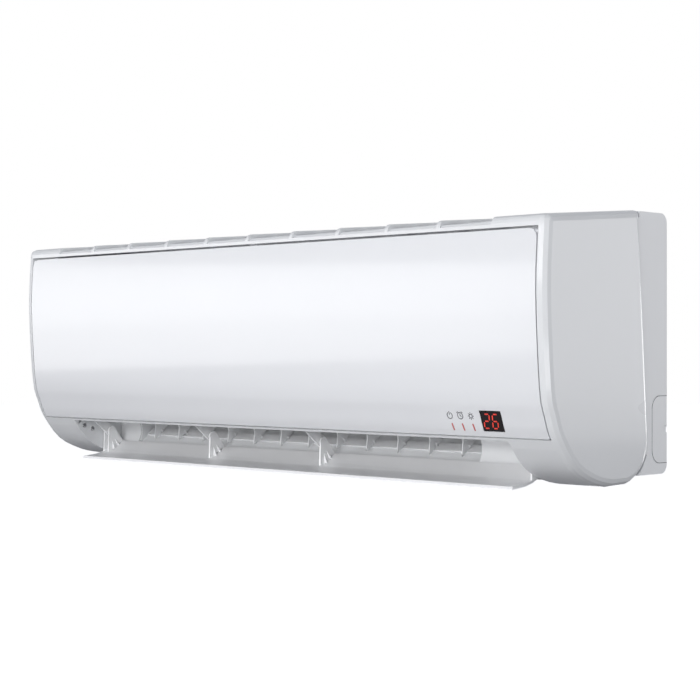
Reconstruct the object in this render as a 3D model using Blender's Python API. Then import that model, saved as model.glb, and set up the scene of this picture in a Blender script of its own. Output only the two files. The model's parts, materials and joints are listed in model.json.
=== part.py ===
"""Indoor unit of a wall split air conditioner, built as separate named pieces.

Run it with: blender --background --python part.py
Metres. +X is to the right as one faces the unit, +Y goes into the wall and +Z is up.
The pieces are modelled with the wall at y = 0 and the casing's lowest line at z = 0. One empty
then lowers them, so that the origin lies on the wall side of the wall plate, at its middle.
"""
import bmesh
import bpy
import math
from mathutils import Matrix, Vector

# Overall size
CASE_WIDTH = 0.855
CASE_HEIGHT = 0.280
CASE_DEPTH = 0.208
HALF_WIDTH = CASE_WIDTH / 2
WALL_Y = -CASE_DEPTH          # y of the foremost line
TOP_Z = CASE_HEIGHT
PLATE_HEIGHT = TOP_Z - 0.105  # middle of the wall plate above the casing's lowest line

# Fits
GAP = 0.0003                  # seated pieces
RUNNING_GAP = 0.0006          # turning pieces
PANEL_GAP = 0.0015            # visible joint round the front panel

# Casing outline seen from the side: setback is measured from the foremost line
WALL = 0.0025
BELLY_HEIGHT = TOP_Z - 0.088
BROW_HEIGHT, BROW_SETBACK = TOP_Z - 0.0245, 0.0030
KNEE_HEIGHT, KNEE_SETBACK = 0.100, 0.0058
SHIN_HEIGHT, SHIN_SETBACK = 0.072, 0.0136
CHIN_HEIGHT, CHIN_SETBACK = 0.0495, 0.0238
JAW_HEIGHT, JAW_SETBACK = 0.0205, 0.0490
THROAT_HEIGHT, THROAT_SETBACK = 0.0055, 0.0810
KEEL_SETBACK = 0.108
TOP_RISE = 0.0125             # the top is this much lower at the front
CROWN_RADIUS = 0.0085
HEEL_RADIUS = 0.046
CASE_BACK_TOP, CASE_BACK_FOOT = 0.051, 0.034     # distance of the casing's rear edge from the wall
SIDE_FILLET = 0.0105

# Front panel and the recess that it closes
PANEL_BOTTOM, PANEL_TOP = 0.0505, TOP_Z - 0.0255
PANEL_HALF = HALF_WIDTH - 0.013
PANEL_WALL = 0.0025
PANEL_CORNER = 0.010
RECESS_DEPTH = 0.0095
RECESS_TOP = TOP_Z - 0.0232
HINGE_SETBACK, HINGE_HEIGHT = 0.0068, TOP_Z - 0.0287
HINGE_PIN = 0.0022
PANEL_OPEN = 60.0

# Intake grille in the top
RIB_COUNT = 11
RIB_PITCH = (CASE_WIDTH - 0.135) / (RIB_COUNT - 1)
RIB_WIDTH = 0.005
SLOT_FRONT = CASE_DEPTH - 0.0075     # front edge of the first slot, from the wall
GRILLE_BACK = 0.0700
SLOT_ROWS = 3
SLOT_PITCH = (SLOT_FRONT - GRILLE_BACK - 0.0065) / SLOT_ROWS
SLOT_WIDTH = SLOT_PITCH - 0.007

# Air outlet
OUTLET_LEFT, OUTLET_RIGHT = -HALF_WIDTH + 0.0705, HALF_WIDTH - 0.0665
DUCT_LEFT, DUCT_RIGHT = -HALF_WIDTH + 0.1125, HALF_WIDTH - 0.1655
LIP_Y, LIP_Z = WALL_Y + 0.0890, 0.0060

# Cross-flow fan
FAN_Y, FAN_Z = WALL_Y + 0.110, 0.118
FAN_RADIUS = 0.046
BLADE_DEPTH = 0.010
BLADE_COUNT = 15
DISC_COUNT = 4
DISC_WALL = 0.003
FAN_END_GAP = 0.008
SHAFT_RADIUS = 0.004

# Coil
SLAB = 0.026
FIN_BLOCKS = 14
FIN_SLOT = 0.004
FIN_SLOT_DEPTH = 0.006
END_PLATE = 0.0012
TUBE_RADIUS = 0.0035
BEND_PITCH, BEND_HALF, BEND_REACH = 0.030, 0.0058, 0.0050

# Flap
FLAP_LEFT, FLAP_RIGHT = OUTLET_LEFT + 0.0015, OUTLET_RIGHT - 0.0055
FLAP_PIVOT_Y, FLAP_PIVOT_Z = WALL_Y + 0.0768, 0.0323
FLAP_REST = 56.5              # turned this far open from closed at rest
FLAP_MORE = 14.0              # opens this much further
FLAP_WALL = 0.0028
BRACKETS = (OUTLET_LEFT + 0.0095, -0.1708 * CASE_WIDTH, 0.0538 * CASE_WIDTH)
BRACKET_WALL = 0.0022
FLAP_PIN = 0.0025

# Vertical vanes
VANE_COUNT = 12
VANE_PITCH = (DUCT_RIGHT - DUCT_LEFT - 0.0545) / (VANE_COUNT - 1)
VANE_WALL = 0.0014
VANE_LEAN = 35.0              # the vanes stand square to the duct floor
VANE_SWING = 30.0
VANE_ARM = 0.011

# Filters
FILTER_WALL = 0.0016
FILTER_LIFT = 0.004
FILTER_GAP = 0.0006
FILTER_LOW, FILTER_BEND = 0.1060, TOP_Z - 0.0540
FILTER_BEND_RADIUS = 0.013
FILTER_END = CASE_DEPTH - 0.108      # distance of its rear end from the wall
LEDGE = 0.0022


def material(name, colour, roughness, metallic=0.0):
    """One Principled material for one finish."""
    found = bpy.data.materials.get(name)
    if found:
        return found
    made = bpy.data.materials.new(name)
    made.use_nodes = True
    shader = made.node_tree.nodes["Principled BSDF"]
    shader.inputs["Base Color"].default_value = (*colour, 1.0)
    shader.inputs["Roughness"].default_value = roughness
    shader.inputs["Metallic"].default_value = metallic
    made.diffuse_color = (*colour, 1.0)
    return made


def white():
    return material("casing_white", (0.80, 0.81, 0.83), 0.28)


def panel_white():
    return material("panel_white", (0.82, 0.83, 0.85), 0.18)


def inner_white():
    return material("inner_plastic", (0.72, 0.73, 0.74), 0.45)


def dark_plastic():
    return material("dark_plastic", (0.05, 0.05, 0.055), 0.45)


def black_gloss():
    return material("display_black", (0.01, 0.008, 0.009), 0.08)


def galvanised():
    return material("galvanised_steel", (0.55, 0.56, 0.57), 0.42, 1.0)


def aluminium():
    return material("fin_aluminium", (0.70, 0.72, 0.74), 0.38, 1.0)


def copper():
    return material("copper_tube", (0.72, 0.38, 0.22), 0.32, 1.0)


def steel():
    return material("bright_steel", (0.62, 0.62, 0.63), 0.25, 1.0)


def board_green():
    return material("circuit_board", (0.04, 0.20, 0.10), 0.5)


def rubber():
    return material("black_rubber", (0.03, 0.03, 0.03), 0.8)


def net_grey():
    return material("filter_net", (0.20, 0.21, 0.22), 0.6)


def new_object(name, mesh_data, finish=None):
    made = bpy.data.objects.new(name, mesh_data)
    bpy.context.collection.objects.link(made)
    if finish:
        made.data.materials.append(finish)
    return made


def from_bmesh(name, shape, finish=None):
    bmesh.ops.recalc_face_normals(shape, faces=shape.faces)
    data = bpy.data.meshes.new(name)
    shape.to_mesh(data)
    shape.free()
    return new_object(name, data, finish)


def prism(name, outline, low, high, finish=None, axis="X"):
    """Extrude a closed outline from low to high along an axis.

    Along X the outline is (y, z), along Y it is (x, z) and along Z it is (x, y)."""
    place = {"X": lambda a, b, t: (t, a, b), "Y": lambda a, b, t: (a, t, b),
             "Z": lambda a, b, t: (a, b, t)}[axis]
    shape = bmesh.new()
    near = [shape.verts.new(place(a, b, low)) for a, b in outline]
    face = shape.faces.new(near)
    made = bmesh.ops.extrude_face_region(shape, geom=[face])
    step = Vector(place(0, 0, high)) - Vector(place(0, 0, low))
    moved = [item for item in made["geom"] if isinstance(item, bmesh.types.BMVert)]
    bmesh.ops.translate(shape, verts=moved, vec=step)
    return from_bmesh(name, shape, finish)


def box(name, x_range, y_range, z_range, finish=None):
    outline = [(y_range[0], z_range[0]), (y_range[1], z_range[0]),
               (y_range[1], z_range[1]), (y_range[0], z_range[1])]
    return prism(name, outline, x_range[0], x_range[1], finish)


def rod(name, start, end, radius, finish=None, sides=16, end_radius=None):
    """A cylinder or a cone between two points."""
    start, end = Vector(start), Vector(end)
    shape = bmesh.new()
    length = (end - start).length
    bmesh.ops.create_cone(shape, cap_ends=True, segments=sides, radius1=radius,
                          radius2=radius if end_radius is None else end_radius, depth=length)
    turn = (end - start).to_track_quat("Z", "Y").to_matrix().to_4x4()
    bmesh.ops.transform(shape, verts=shape.verts, matrix=Matrix.Translation((start + end) / 2) @ turn)
    return from_bmesh(name, shape, finish)


def combine(target, others, operation):
    """Boolean the target with each other object, then delete those."""
    for other in others:
        change = target.modifiers.new(operation.lower(), "BOOLEAN")
        change.operation = operation
        change.solver = "EXACT"
        change.object = other
        bpy.context.view_layer.update()
        ready = target.evaluated_get(bpy.context.evaluated_depsgraph_get())
        data = bpy.data.meshes.new_from_object(ready)
        target.modifiers.remove(change)
        old = target.data
        target.data = data
        bpy.data.meshes.remove(old)
        bpy.data.objects.remove(other)
    return target


def cut(target, *others):
    return combine(target, others, "DIFFERENCE")


def join(target, *others):
    return combine(target, others, "UNION")


def gather(name, pieces, finish):
    """Put separate solids into one object: a group of like pieces in one node."""
    shape = bmesh.new()
    for piece in pieces:
        shape.from_mesh(piece.data)
        bpy.data.objects.remove(piece)
    data = bpy.data.meshes.new(name)
    shape.to_mesh(data)
    shape.free()
    return new_object(name, data, finish)


def arc(centre, radius, start, end, steps):
    """Points on an arc, with angles in degrees, the first and the last included."""
    points = []
    for index in range(steps + 1):
        angle = math.radians(start + (end - start) * index / steps)
        points.append((centre[0] + radius * math.cos(angle), centre[1] + radius * math.sin(angle)))
    return points


def smooth(points, steps):
    """A Catmull-Rom curve through the points, with so many steps to each stretch."""
    ends = [points[0], *points, points[-1]]
    curve = []
    for a, b, c, d in zip(ends, ends[1:], ends[2:], ends[3:]):
        for index in range(steps):
            t = index / steps
            curve.append(tuple(0.5 * (2 * q + (r - p) * t + (2 * p - 5 * q + 4 * r - s) * t * t
                                      + (3 * q - p - 3 * r + s) * t ** 3)
                               for p, q, r, s in zip(a, b, c, d)))
    curve.append(points[-1])
    return curve


def offset(points, distance):
    """Shift an open line to its left-hand side, seen along its direction."""
    moved = []
    for index, point in enumerate(points):
        before = points[max(index - 1, 0)]
        after = points[min(index + 1, len(points) - 1)]
        along = (after[0] - before[0], after[1] - before[1])
        length = math.hypot(*along)
        moved.append((point[0] - along[1] / length * distance, point[1] + along[0] / length * distance))
    return moved


def ribbon(points, near, far):
    """The closed outline between two offsets of an open line."""
    return offset(points, near) + offset(points, far)[::-1]


def at_height(points, height):
    """Where an open line that runs downwards crosses a height."""
    for (y1, z1), (y2, z2) in zip(points, points[1:]):
        if (z1 - height) * (z2 - height) <= 0 and z1 != z2:
            return y1 + (y2 - y1) * (z1 - height) / (z1 - z2)
    raise ValueError("the line doesn't reach this height")


def between(points, high, low):
    """The stretch of a line that runs downwards, cut at two heights."""
    inside = [p for p in points if low + WALL < p[1] < high - WALL]
    return [(at_height(points, high), high), *inside, (at_height(points, low), low)]


def front_line():
    """The casing's front and underside, from the brow down and back to the keel."""
    return smooth([(WALL_Y + BROW_SETBACK, BROW_HEIGHT), (WALL_Y, BELLY_HEIGHT),
                   (WALL_Y + KNEE_SETBACK, KNEE_HEIGHT), (WALL_Y + SHIN_SETBACK, SHIN_HEIGHT),
                   (WALL_Y + CHIN_SETBACK, CHIN_HEIGHT), (WALL_Y + JAW_SETBACK, JAW_HEIGHT),
                   (WALL_Y + THROAT_SETBACK, THROAT_HEIGHT), (WALL_Y + KEEL_SETBACK, 0.0)], 3)


def top_height(y):
    """Height of the sloping top at a distance in front of the wall."""
    slope = TOP_RISE / (CASE_DEPTH - CASE_BACK_TOP)
    return TOP_Z - slope * (-y - CASE_BACK_TOP)


def case_outline():
    """The casing's closed side outline: front, underside, rounded heel, rear edge, top, crown."""
    heel = (-CASE_BACK_FOOT - HEEL_RADIUS, HEEL_RADIUS)
    crown_y = WALL_Y + BROW_SETBACK + CROWN_RADIUS
    crown = (crown_y, top_height(crown_y) - CROWN_RADIUS)
    return (front_line() + arc(heel, HEEL_RADIUS, -80, 0, 7)
            + [(-CASE_BACK_TOP, TOP_Z)] + arc(crown, CROWN_RADIUS, 92, 172, 4))


def rounded(low_a, low_b, high_a, high_b, radius, steps=4):
    """A rectangle's outline with round corners."""
    return (arc((high_a - radius, low_b + radius), radius, -90, 0, steps)
            + arc((high_a - radius, high_b - radius), radius, 0, 90, steps)
            + arc((low_a + radius, high_b - radius), radius, 90, 180, steps)
            + arc((low_a + radius, low_b + radius), radius, 180, 270, steps))


def inset(outline, distance):
    """Shrink a closed outline evenly; its inside lies to the left of its direction."""
    count = len(outline)
    moved = []
    for index, point in enumerate(outline):
        before, after = outline[index - 1], outline[(index + 1) % count]
        first = Vector((point[0] - before[0], point[1] - before[1])).normalized()
        second = Vector((after[0] - point[0], after[1] - point[1])).normalized()
        normals = Vector((-first.y, first.x)), Vector((-second.y, second.x))
        shift = (normals[0] + normals[1]) * distance / max(1 + normals[0].dot(normals[1]), 0.3)
        moved.append((point[0] + shift.x, point[1] + shift.y))
    return moved


def loft(name, sections, finish=None):
    """Join outlines of equal length at several x into one closed body."""
    shape = bmesh.new()
    rings = [[shape.verts.new((x, a, b)) for a, b in outline] for x, outline in sections]
    for near, far in zip(rings, rings[1:]):
        for index in range(len(near)):
            following = (index + 1) % len(near)
            shape.faces.new((near[index], near[following], far[following], far[index]))
    shape.faces.new(rings[0])
    shape.faces.new(rings[-1])
    return from_bmesh(name, shape, finish)


def smooth_shading(target, degrees=32.0):
    target.data.shade_smooth()
    target.data.set_sharp_from_angle(angle=math.radians(degrees))
    return target


# Front casing

SIDE_INSET = 0.0080           # how far the side face's outline lies inside the full outline
FILLET_LAND = 0.0035          # extra wall behind the side fillets
GRILLE_DROP = 0.0035          # the grille's bars lie this far below its ribs
RAIL_WALL = 0.0026
FILTER_SLOT_LOW = TOP_Z - 0.0515
POST_HALF = 0.0060
FILTER_HALF = HALF_WIDTH - 0.0535
WINDOW_LOW, WINDOW_HIGH = 0.1120, TOP_Z - 0.0550
WINDOW_COLUMNS, WINDOW_ROWS = 4, 2
WINDOW_BAR = 0.007
CORNER_WEB = 0.0025
BUTTON_X, BUTTON_Z, BUTTON_RADIUS = HALF_WIDTH - 0.0345, 0.1000, 0.0040


def casing_body():
    """The full block of the casing, rounded at both sides."""
    half = HALF_WIDTH
    outline = case_outline()
    steps = 3
    right = []
    for index in range(steps + 1):
        angle = math.radians(90 * index / steps)
        right.append((half - SIDE_FILLET * (1 - math.sin(angle)),
                      inset(outline, SIDE_INSET * (1 - math.cos(angle)))))
    left = [(-x, ring) for x, ring in reversed(right)]
    return loft("front_casing", left + right, white())


def recess_line(high=RECESS_TOP):
    """The stretch of the casing's front that the panel and its recess take up."""
    line = front_line()
    brow = [(line[0][0], high + 0.001)]
    return between(brow + line, high, PANEL_BOTTOM - PANEL_GAP)


def cavity_outline(wall):
    """Outline of the casing's hollow, with so thick a wall at the chin, the underside and the heel."""
    front = offset(recess_line(), RECESS_DEPTH + WALL)
    line = front_line()
    lower = offset([p for p in line if p[1] < CHIN_HEIGHT - 0.004], wall)
    heel = (-CASE_BACK_FOOT - HEEL_RADIUS, HEEL_RADIUS)
    back = arc(heel, HEEL_RADIUS - wall, -80, -25, 4)
    roof = GRILLE_DROP + WALL
    front_y = front[0][0]
    return (front + lower + back
            + [(0.02, back[-1][1]), (0.02, top_height(0.02) - roof),
               (front_y, top_height(front_y) - roof)])


def casing_cavity():
    """What is hollow inside the casing, open towards the wall: its sides keep clear of the fillets."""
    half = HALF_WIDTH - WALL
    straight = HALF_WIDTH - 0.7 * SIDE_FILLET
    return [prism("middle", cavity_outline(WALL), -straight, straight),
            prism("side", cavity_outline(WALL + FILLET_LAND), straight - 0.0005, half),
            prism("side", cavity_outline(WALL + FILLET_LAND), -half, 0.0005 - straight)]


def outlet_cut():
    """The opening between the corner pieces, through the underside to the rear."""
    rail_z = PANEL_BOTTOM - PANEL_GAP - RAIL_WALL
    rail_y = WALL_Y + CHIN_SETBACK
    outline = [(rail_y - 0.060, rail_z - 0.022), (rail_y, rail_z), (rail_y + 0.014, rail_z + 0.005),
               (0.03, rail_z + 0.005), (0.03, -0.02), (rail_y - 0.060, -0.02)]
    return prism("outlet_cut", outline, OUTLET_LEFT, OUTLET_RIGHT)


def corner_web(low, high):
    """The wall that closes a lower corner piece towards the outlet."""
    outer = [p for p in offset(front_line(), WALL / 2) if p[1] < CHIN_HEIGHT - 0.001]
    inner_y = WALL_Y + KEEL_SETBACK + WALL
    outline = outer + [(inner_y, outer[-1][1]), (inner_y, CHIN_HEIGHT + 0.0015),
                       (outer[0][0] + 0.012, CHIN_HEIGHT + 0.0015)]
    return prism("web", outline, low, high)


def grille_cells():
    first = -RIB_PITCH * (RIB_COUNT - 1) / 2
    for index in range(RIB_COUNT - 1):
        low = first + index * RIB_PITCH
        yield low + RIB_WIDTH / 2, low + RIB_PITCH - RIB_WIDTH / 2


def grille_drop():
    """Lowers the bars between the ribs, over the front edge as well."""
    lip_y = WALL_Y + BROW_SETBACK + 0.0022
    outline = [(-GRILLE_BACK, top_height(-GRILLE_BACK) - GRILLE_DROP), (-GRILLE_BACK, TOP_Z + 0.01),
               (WALL_Y - 0.02, TOP_Z + 0.01), (WALL_Y - 0.02, RECESS_TOP + 0.0035),
               (lip_y, RECESS_TOP + 0.0035),
               (lip_y + 0.0035, top_height(lip_y + 0.0035) - GRILLE_DROP)]
    return gather("drop", [prism("cell", outline, low, high) for low, high in grille_cells()], None)


def grille_slots():
    slots = []
    for low, high in grille_cells():
        for row in range(SLOT_ROWS):
            near = -SLOT_FRONT + row * SLOT_PITCH
            slots.append(box("slot", (low, high), (near, near + SLOT_WIDTH), (TOP_Z - 0.024, TOP_Z + 0.02)))
    return gather("slots", slots, None)


def filter_spans():
    return ((-FILTER_HALF, -POST_HALF), (POST_HALF, FILTER_HALF))


def recess_windows():
    """The openings behind each filter, with bars left between them."""
    front = WALL_Y + RECESS_DEPTH - 0.004
    windows = []
    for low, high in filter_spans():
        width = (high - low - WINDOW_BAR) / WINDOW_COLUMNS
        height = (WINDOW_HIGH - WINDOW_LOW) / WINDOW_ROWS
        for column in range(WINDOW_COLUMNS):
            for row in range(WINDOW_ROWS):
                left = low + WINDOW_BAR + column * width
                bottom = WINDOW_LOW + row * height
                windows.append(box("window", (left, left + width - WINDOW_BAR), (front, front + 0.02),
                                   (bottom, bottom + height - WINDOW_BAR)))
        windows.append(box("filter_slot", (low + 0.001, high), (front, front + 0.0142),
                           (FILTER_SLOT_LOW, RECESS_TOP - 0.0002)))
    return gather("windows", windows, None)


def hinge_axis():
    return WALL_Y + HINGE_SETBACK, HINGE_HEIGHT


def make_front_casing():
    casing = casing_body()
    cut(casing, *casing_cavity())
    recess_half = PANEL_HALF + PANEL_GAP
    cut(casing, prism("recess", ribbon(recess_line(), -0.012, RECESS_DEPTH), -recess_half, recess_half))
    join(casing, corner_web(OUTLET_LEFT - CORNER_WEB, OUTLET_LEFT + CORNER_WEB))
    join(casing, corner_web(OUTLET_RIGHT - CORNER_WEB, OUTLET_RIGHT + CORNER_WEB))
    cut(casing, outlet_cut())
    cut(casing, grille_drop())
    cut(casing, grille_slots())
    cut(casing, recess_windows())
    ledge = ribbon(between(offset(recess_line(), RECESS_DEPTH), FILTER_LOW - GAP,
                           FILTER_LOW - GAP - LEDGE), 0.0005, -0.0030)
    for low, high in filter_spans():
        middle = (low + high) / 2
        for x in (middle - 0.12, middle + 0.12):
            join(casing, prism("ledge", ledge, x - 0.012, x + 0.012))
    y, z = hinge_axis()
    for side in (-1, 1):
        cut(casing, rod("hinge_hole", (side * (recess_half - 0.001), y, z),
                        (side * (recess_half + 0.0045), y, z), HINGE_PIN + GAP, sides=12))
        end = OUTLET_LEFT if side < 0 else OUTLET_RIGHT
        cut(casing, rod("pivot_hole", (end - side * 0.002, FLAP_PIVOT_Y, FLAP_PIVOT_Z),
                        (end + side * 0.006, FLAP_PIVOT_Y, FLAP_PIVOT_Z), FLAP_PIN + RUNNING_GAP, sides=12))
    back_wall = WALL_Y + RECESS_DEPTH
    cut(casing, rod("button_hole", (BUTTON_X, back_wall - 0.006, BUTTON_Z),
                    (BUTTON_X, back_wall + 0.012, BUTTON_Z),
                    BUTTON_RADIUS + GAP, sides=16))
    return smooth_shading(casing)


# Front panel, its lens and the display behind it

LENS_LEFT, LENS_RIGHT = HALF_WIDTH - 0.0930, HALF_WIDTH - 0.0655
LENS_LOW, LENS_HIGH = 0.0560, 0.0770
ARM_WIDTH, ARM_WALL = 0.0100, 0.0025


def panel_line():
    return between(front_line(), PANEL_TOP, PANEL_BOTTOM)


def make_front_panel():
    panel = prism("front_panel", ribbon(panel_line(), 0.0, PANEL_WALL), -PANEL_HALF, PANEL_HALF,
                  panel_white())
    mask = rounded(-PANEL_HALF, PANEL_BOTTOM - 0.012, PANEL_HALF, PANEL_TOP, PANEL_CORNER)
    combine(panel, [prism("mask", mask, WALL_Y - 0.01, WALL_Y + 0.05, axis="Y")], "INTERSECT")
    y, z = hinge_axis()
    for side in (-1, 1):
        inner = side * (PANEL_HALF - 0.0035)
        far = inner - side * ARM_WALL
        face = WALL_Y + PANEL_WALL
        outline = [(face, z - 0.012), *arc((y, z), HINGE_PIN + 0.0013, -70, 90, 6), (face, z + 0.002)]
        join(panel, prism("arm", outline, min(inner, far), max(inner, far)))
        join(panel, rod("pin", (far + side * 0.0005, y, z), (side * (PANEL_HALF + PANEL_GAP + 0.0035), y, z),
                        HINGE_PIN, sides=12))
    cut(panel, box("lens_hole", (LENS_LEFT, LENS_RIGHT), (WALL_Y - 0.01, WALL_Y + 0.04),
                   (LENS_LOW, LENS_HIGH)))
    return smooth_shading(panel)


def make_display_lens():
    lens = prism("display_lens", ribbon(panel_line(), 0.0001, PANEL_WALL), LENS_LEFT + GAP, LENS_RIGHT - GAP,
                 black_gloss())
    span = box("span", (LENS_LEFT, LENS_RIGHT), (WALL_Y - 0.01, WALL_Y + 0.04),
               (LENS_LOW + GAP, LENS_HIGH - GAP))
    return smooth_shading(combine(lens, [span], "INTERSECT"))


BOARD_LEFT, BOARD_RIGHT = HALF_WIDTH - 0.1395, HALF_WIDTH - 0.0575
BOARD_LOW, BOARD_HIGH = 0.0600, 0.0860


def make_display_board():
    """A small board on the back wall of the recess, with its digit block facing the lens."""
    middle = (BOARD_LOW + BOARD_HIGH) / 2
    wall = offset(recess_line(), RECESS_DEPTH)
    face = between(wall, BOARD_HIGH, BOARD_LOW)
    board = prism("display_board", ribbon(face, -GAP, -GAP - 0.0016), BOARD_LEFT, BOARD_RIGHT, board_green())
    digits = ribbon(between(wall, LENS_HIGH - 0.001, LENS_LOW + 0.005), -GAP - 0.001, -GAP - 0.0046)
    join(board, prism("digits", digits, LENS_LEFT + 0.002, LENS_RIGHT - 0.002))
    for index in range(3):
        x = BOARD_LEFT + 0.010 + index * 0.014
        y = at_height(wall, middle)
        join(board, rod("lamp", (x, y - 0.001, middle), (x, y - 0.0046, middle), 0.0015, sides=8))
    return board


# Rear chassis: back wall, side walls, the scroll behind the fan, the duct floor and walls

CHASSIS_HALF = HALF_WIDTH - WALL - GAP
CHASSIS_TOP, CHASSIS_BOTTOM = TOP_Z - 0.0012, 0.0090
CHASSIS_CORNER = 0.010
CHASSIS_FRONT = 0.0620        # how far it reaches in front of the wall, inside the casing
PLATE_DEPTH = 0.0060          # room for the wall plate in the chassis's back
PLATE_HALF, PLATE_RISE = HALF_WIDTH - 0.1925, 0.087
PLATE_LOW, PLATE_HIGH = PLATE_HEIGHT - PLATE_RISE, PLATE_HEIGHT + PLATE_RISE
SCROLL_START_GAP, SCROLL_END_RADIUS = 0.005, 0.080
SCROLL_START, SCROLL_END = 42.0, -75.0
SWEEP_RADIUS = 0.0275         # kept free round the flap's pivot
DUCT_WALL = 0.0025
KNOCKOUT_FRONT, KNOCKOUT_LOW, KNOCKOUT_HIGH = 0.0275, 0.020, 0.090
KNOCKOUT_CORNER = 0.012
HEEL_ROOM_HIGH = 0.0298
KEEL_Y = WALL_Y + KEEL_SETBACK
DUCT_SIDE_FRONT, DUCT_SIDE_TOP = WALL_Y + 0.0523, TOP_Z - 0.120
MOTOR_RADIUS, MOTOR_LENGTH = 0.0380, 0.0560
MOTOR_X = DUCT_RIGHT + 0.014
BEARING_RADIUS, BEARING_WIDTH = 0.0120, 0.0100


def scroll_line():
    """The scroll behind the fan, from its upper tongue down and forward to the outlet's lower lip."""
    start = FAN_RADIUS + SCROLL_START_GAP
    growth = math.log(SCROLL_END_RADIUS / start) / (SCROLL_START - SCROLL_END)
    steps = 9
    points = []
    for index in range(steps + 1):
        angle = SCROLL_START + (SCROLL_END - SCROLL_START) * index / steps
        radius = start * math.exp(growth * (SCROLL_START - angle))
        points.append((FAN_Y + radius * math.cos(math.radians(angle)),
                       FAN_Z + radius * math.sin(math.radians(angle))))
    return points + [(LIP_Y, LIP_Z)]


def chassis_outline():
    rear = -GAP
    r = CHASSIS_CORNER
    lower = arc((rear - r, CHASSIS_BOTTOM + r), r, -90, 0, 4)
    upper = arc((rear - r, CHASSIS_TOP - r), r, 0, 90, 4)
    step_y = -CASE_BACK_TOP + 0.0012
    under = TOP_Z - GRILLE_DROP - WALL - 2 * GAP - 0.0010
    return ([(-CHASSIS_FRONT, CHASSIS_BOTTOM), *lower, *upper, (step_y, CHASSIS_TOP), (step_y, under),
             (-CHASSIS_FRONT, under)])


def duct_side_outline():
    """Side wall of the duct: it keeps clear of the flap's rear edge as this swings."""
    sweep = arc((FLAP_PIVOT_Y, FLAP_PIVOT_Z), SWEEP_RADIUS, -62, 48, 6)
    return ([(-WALL, CHASSIS_BOTTOM + 0.001), (-WALL, DUCT_SIDE_TOP), (DUCT_SIDE_FRONT, DUCT_SIDE_TOP),
             (DUCT_SIDE_FRONT, 0.0850), (DUCT_SIDE_FRONT + 0.0117, 0.0560)] + sweep[::-1]
            + [(KEEL_Y, 0.0035), (-CHASSIS_FRONT, CHASSIS_BOTTOM + 0.001)])


def heel_room():
    """What the chassis leaves free for the casing's heel, outside the outlet."""
    heel = (-CASE_BACK_FOOT - HEEL_RADIUS, HEEL_RADIUS)
    radius = HEEL_RADIUS + GAP
    end = math.degrees(math.asin((HEEL_ROOM_HIGH - HEEL_RADIUS) / radius))
    return arc(heel, radius, -80, end, 7) + [(heel[0], HEEL_ROOM_HIGH)]


def knockout_outline(inset_by, rear):
    """Outline of the pipe outlet in the side wall, with both front corners rounded."""
    low, high, front = KNOCKOUT_LOW + inset_by, KNOCKOUT_HIGH - inset_by, -KNOCKOUT_FRONT + inset_by
    r = KNOCKOUT_CORNER - inset_by
    return ([(rear, low), (rear, high)] + arc((front + r, high - r), r, 90, 180, 4)
            + arc((front + r, low + r), r, 180, 270, 4))


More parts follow.
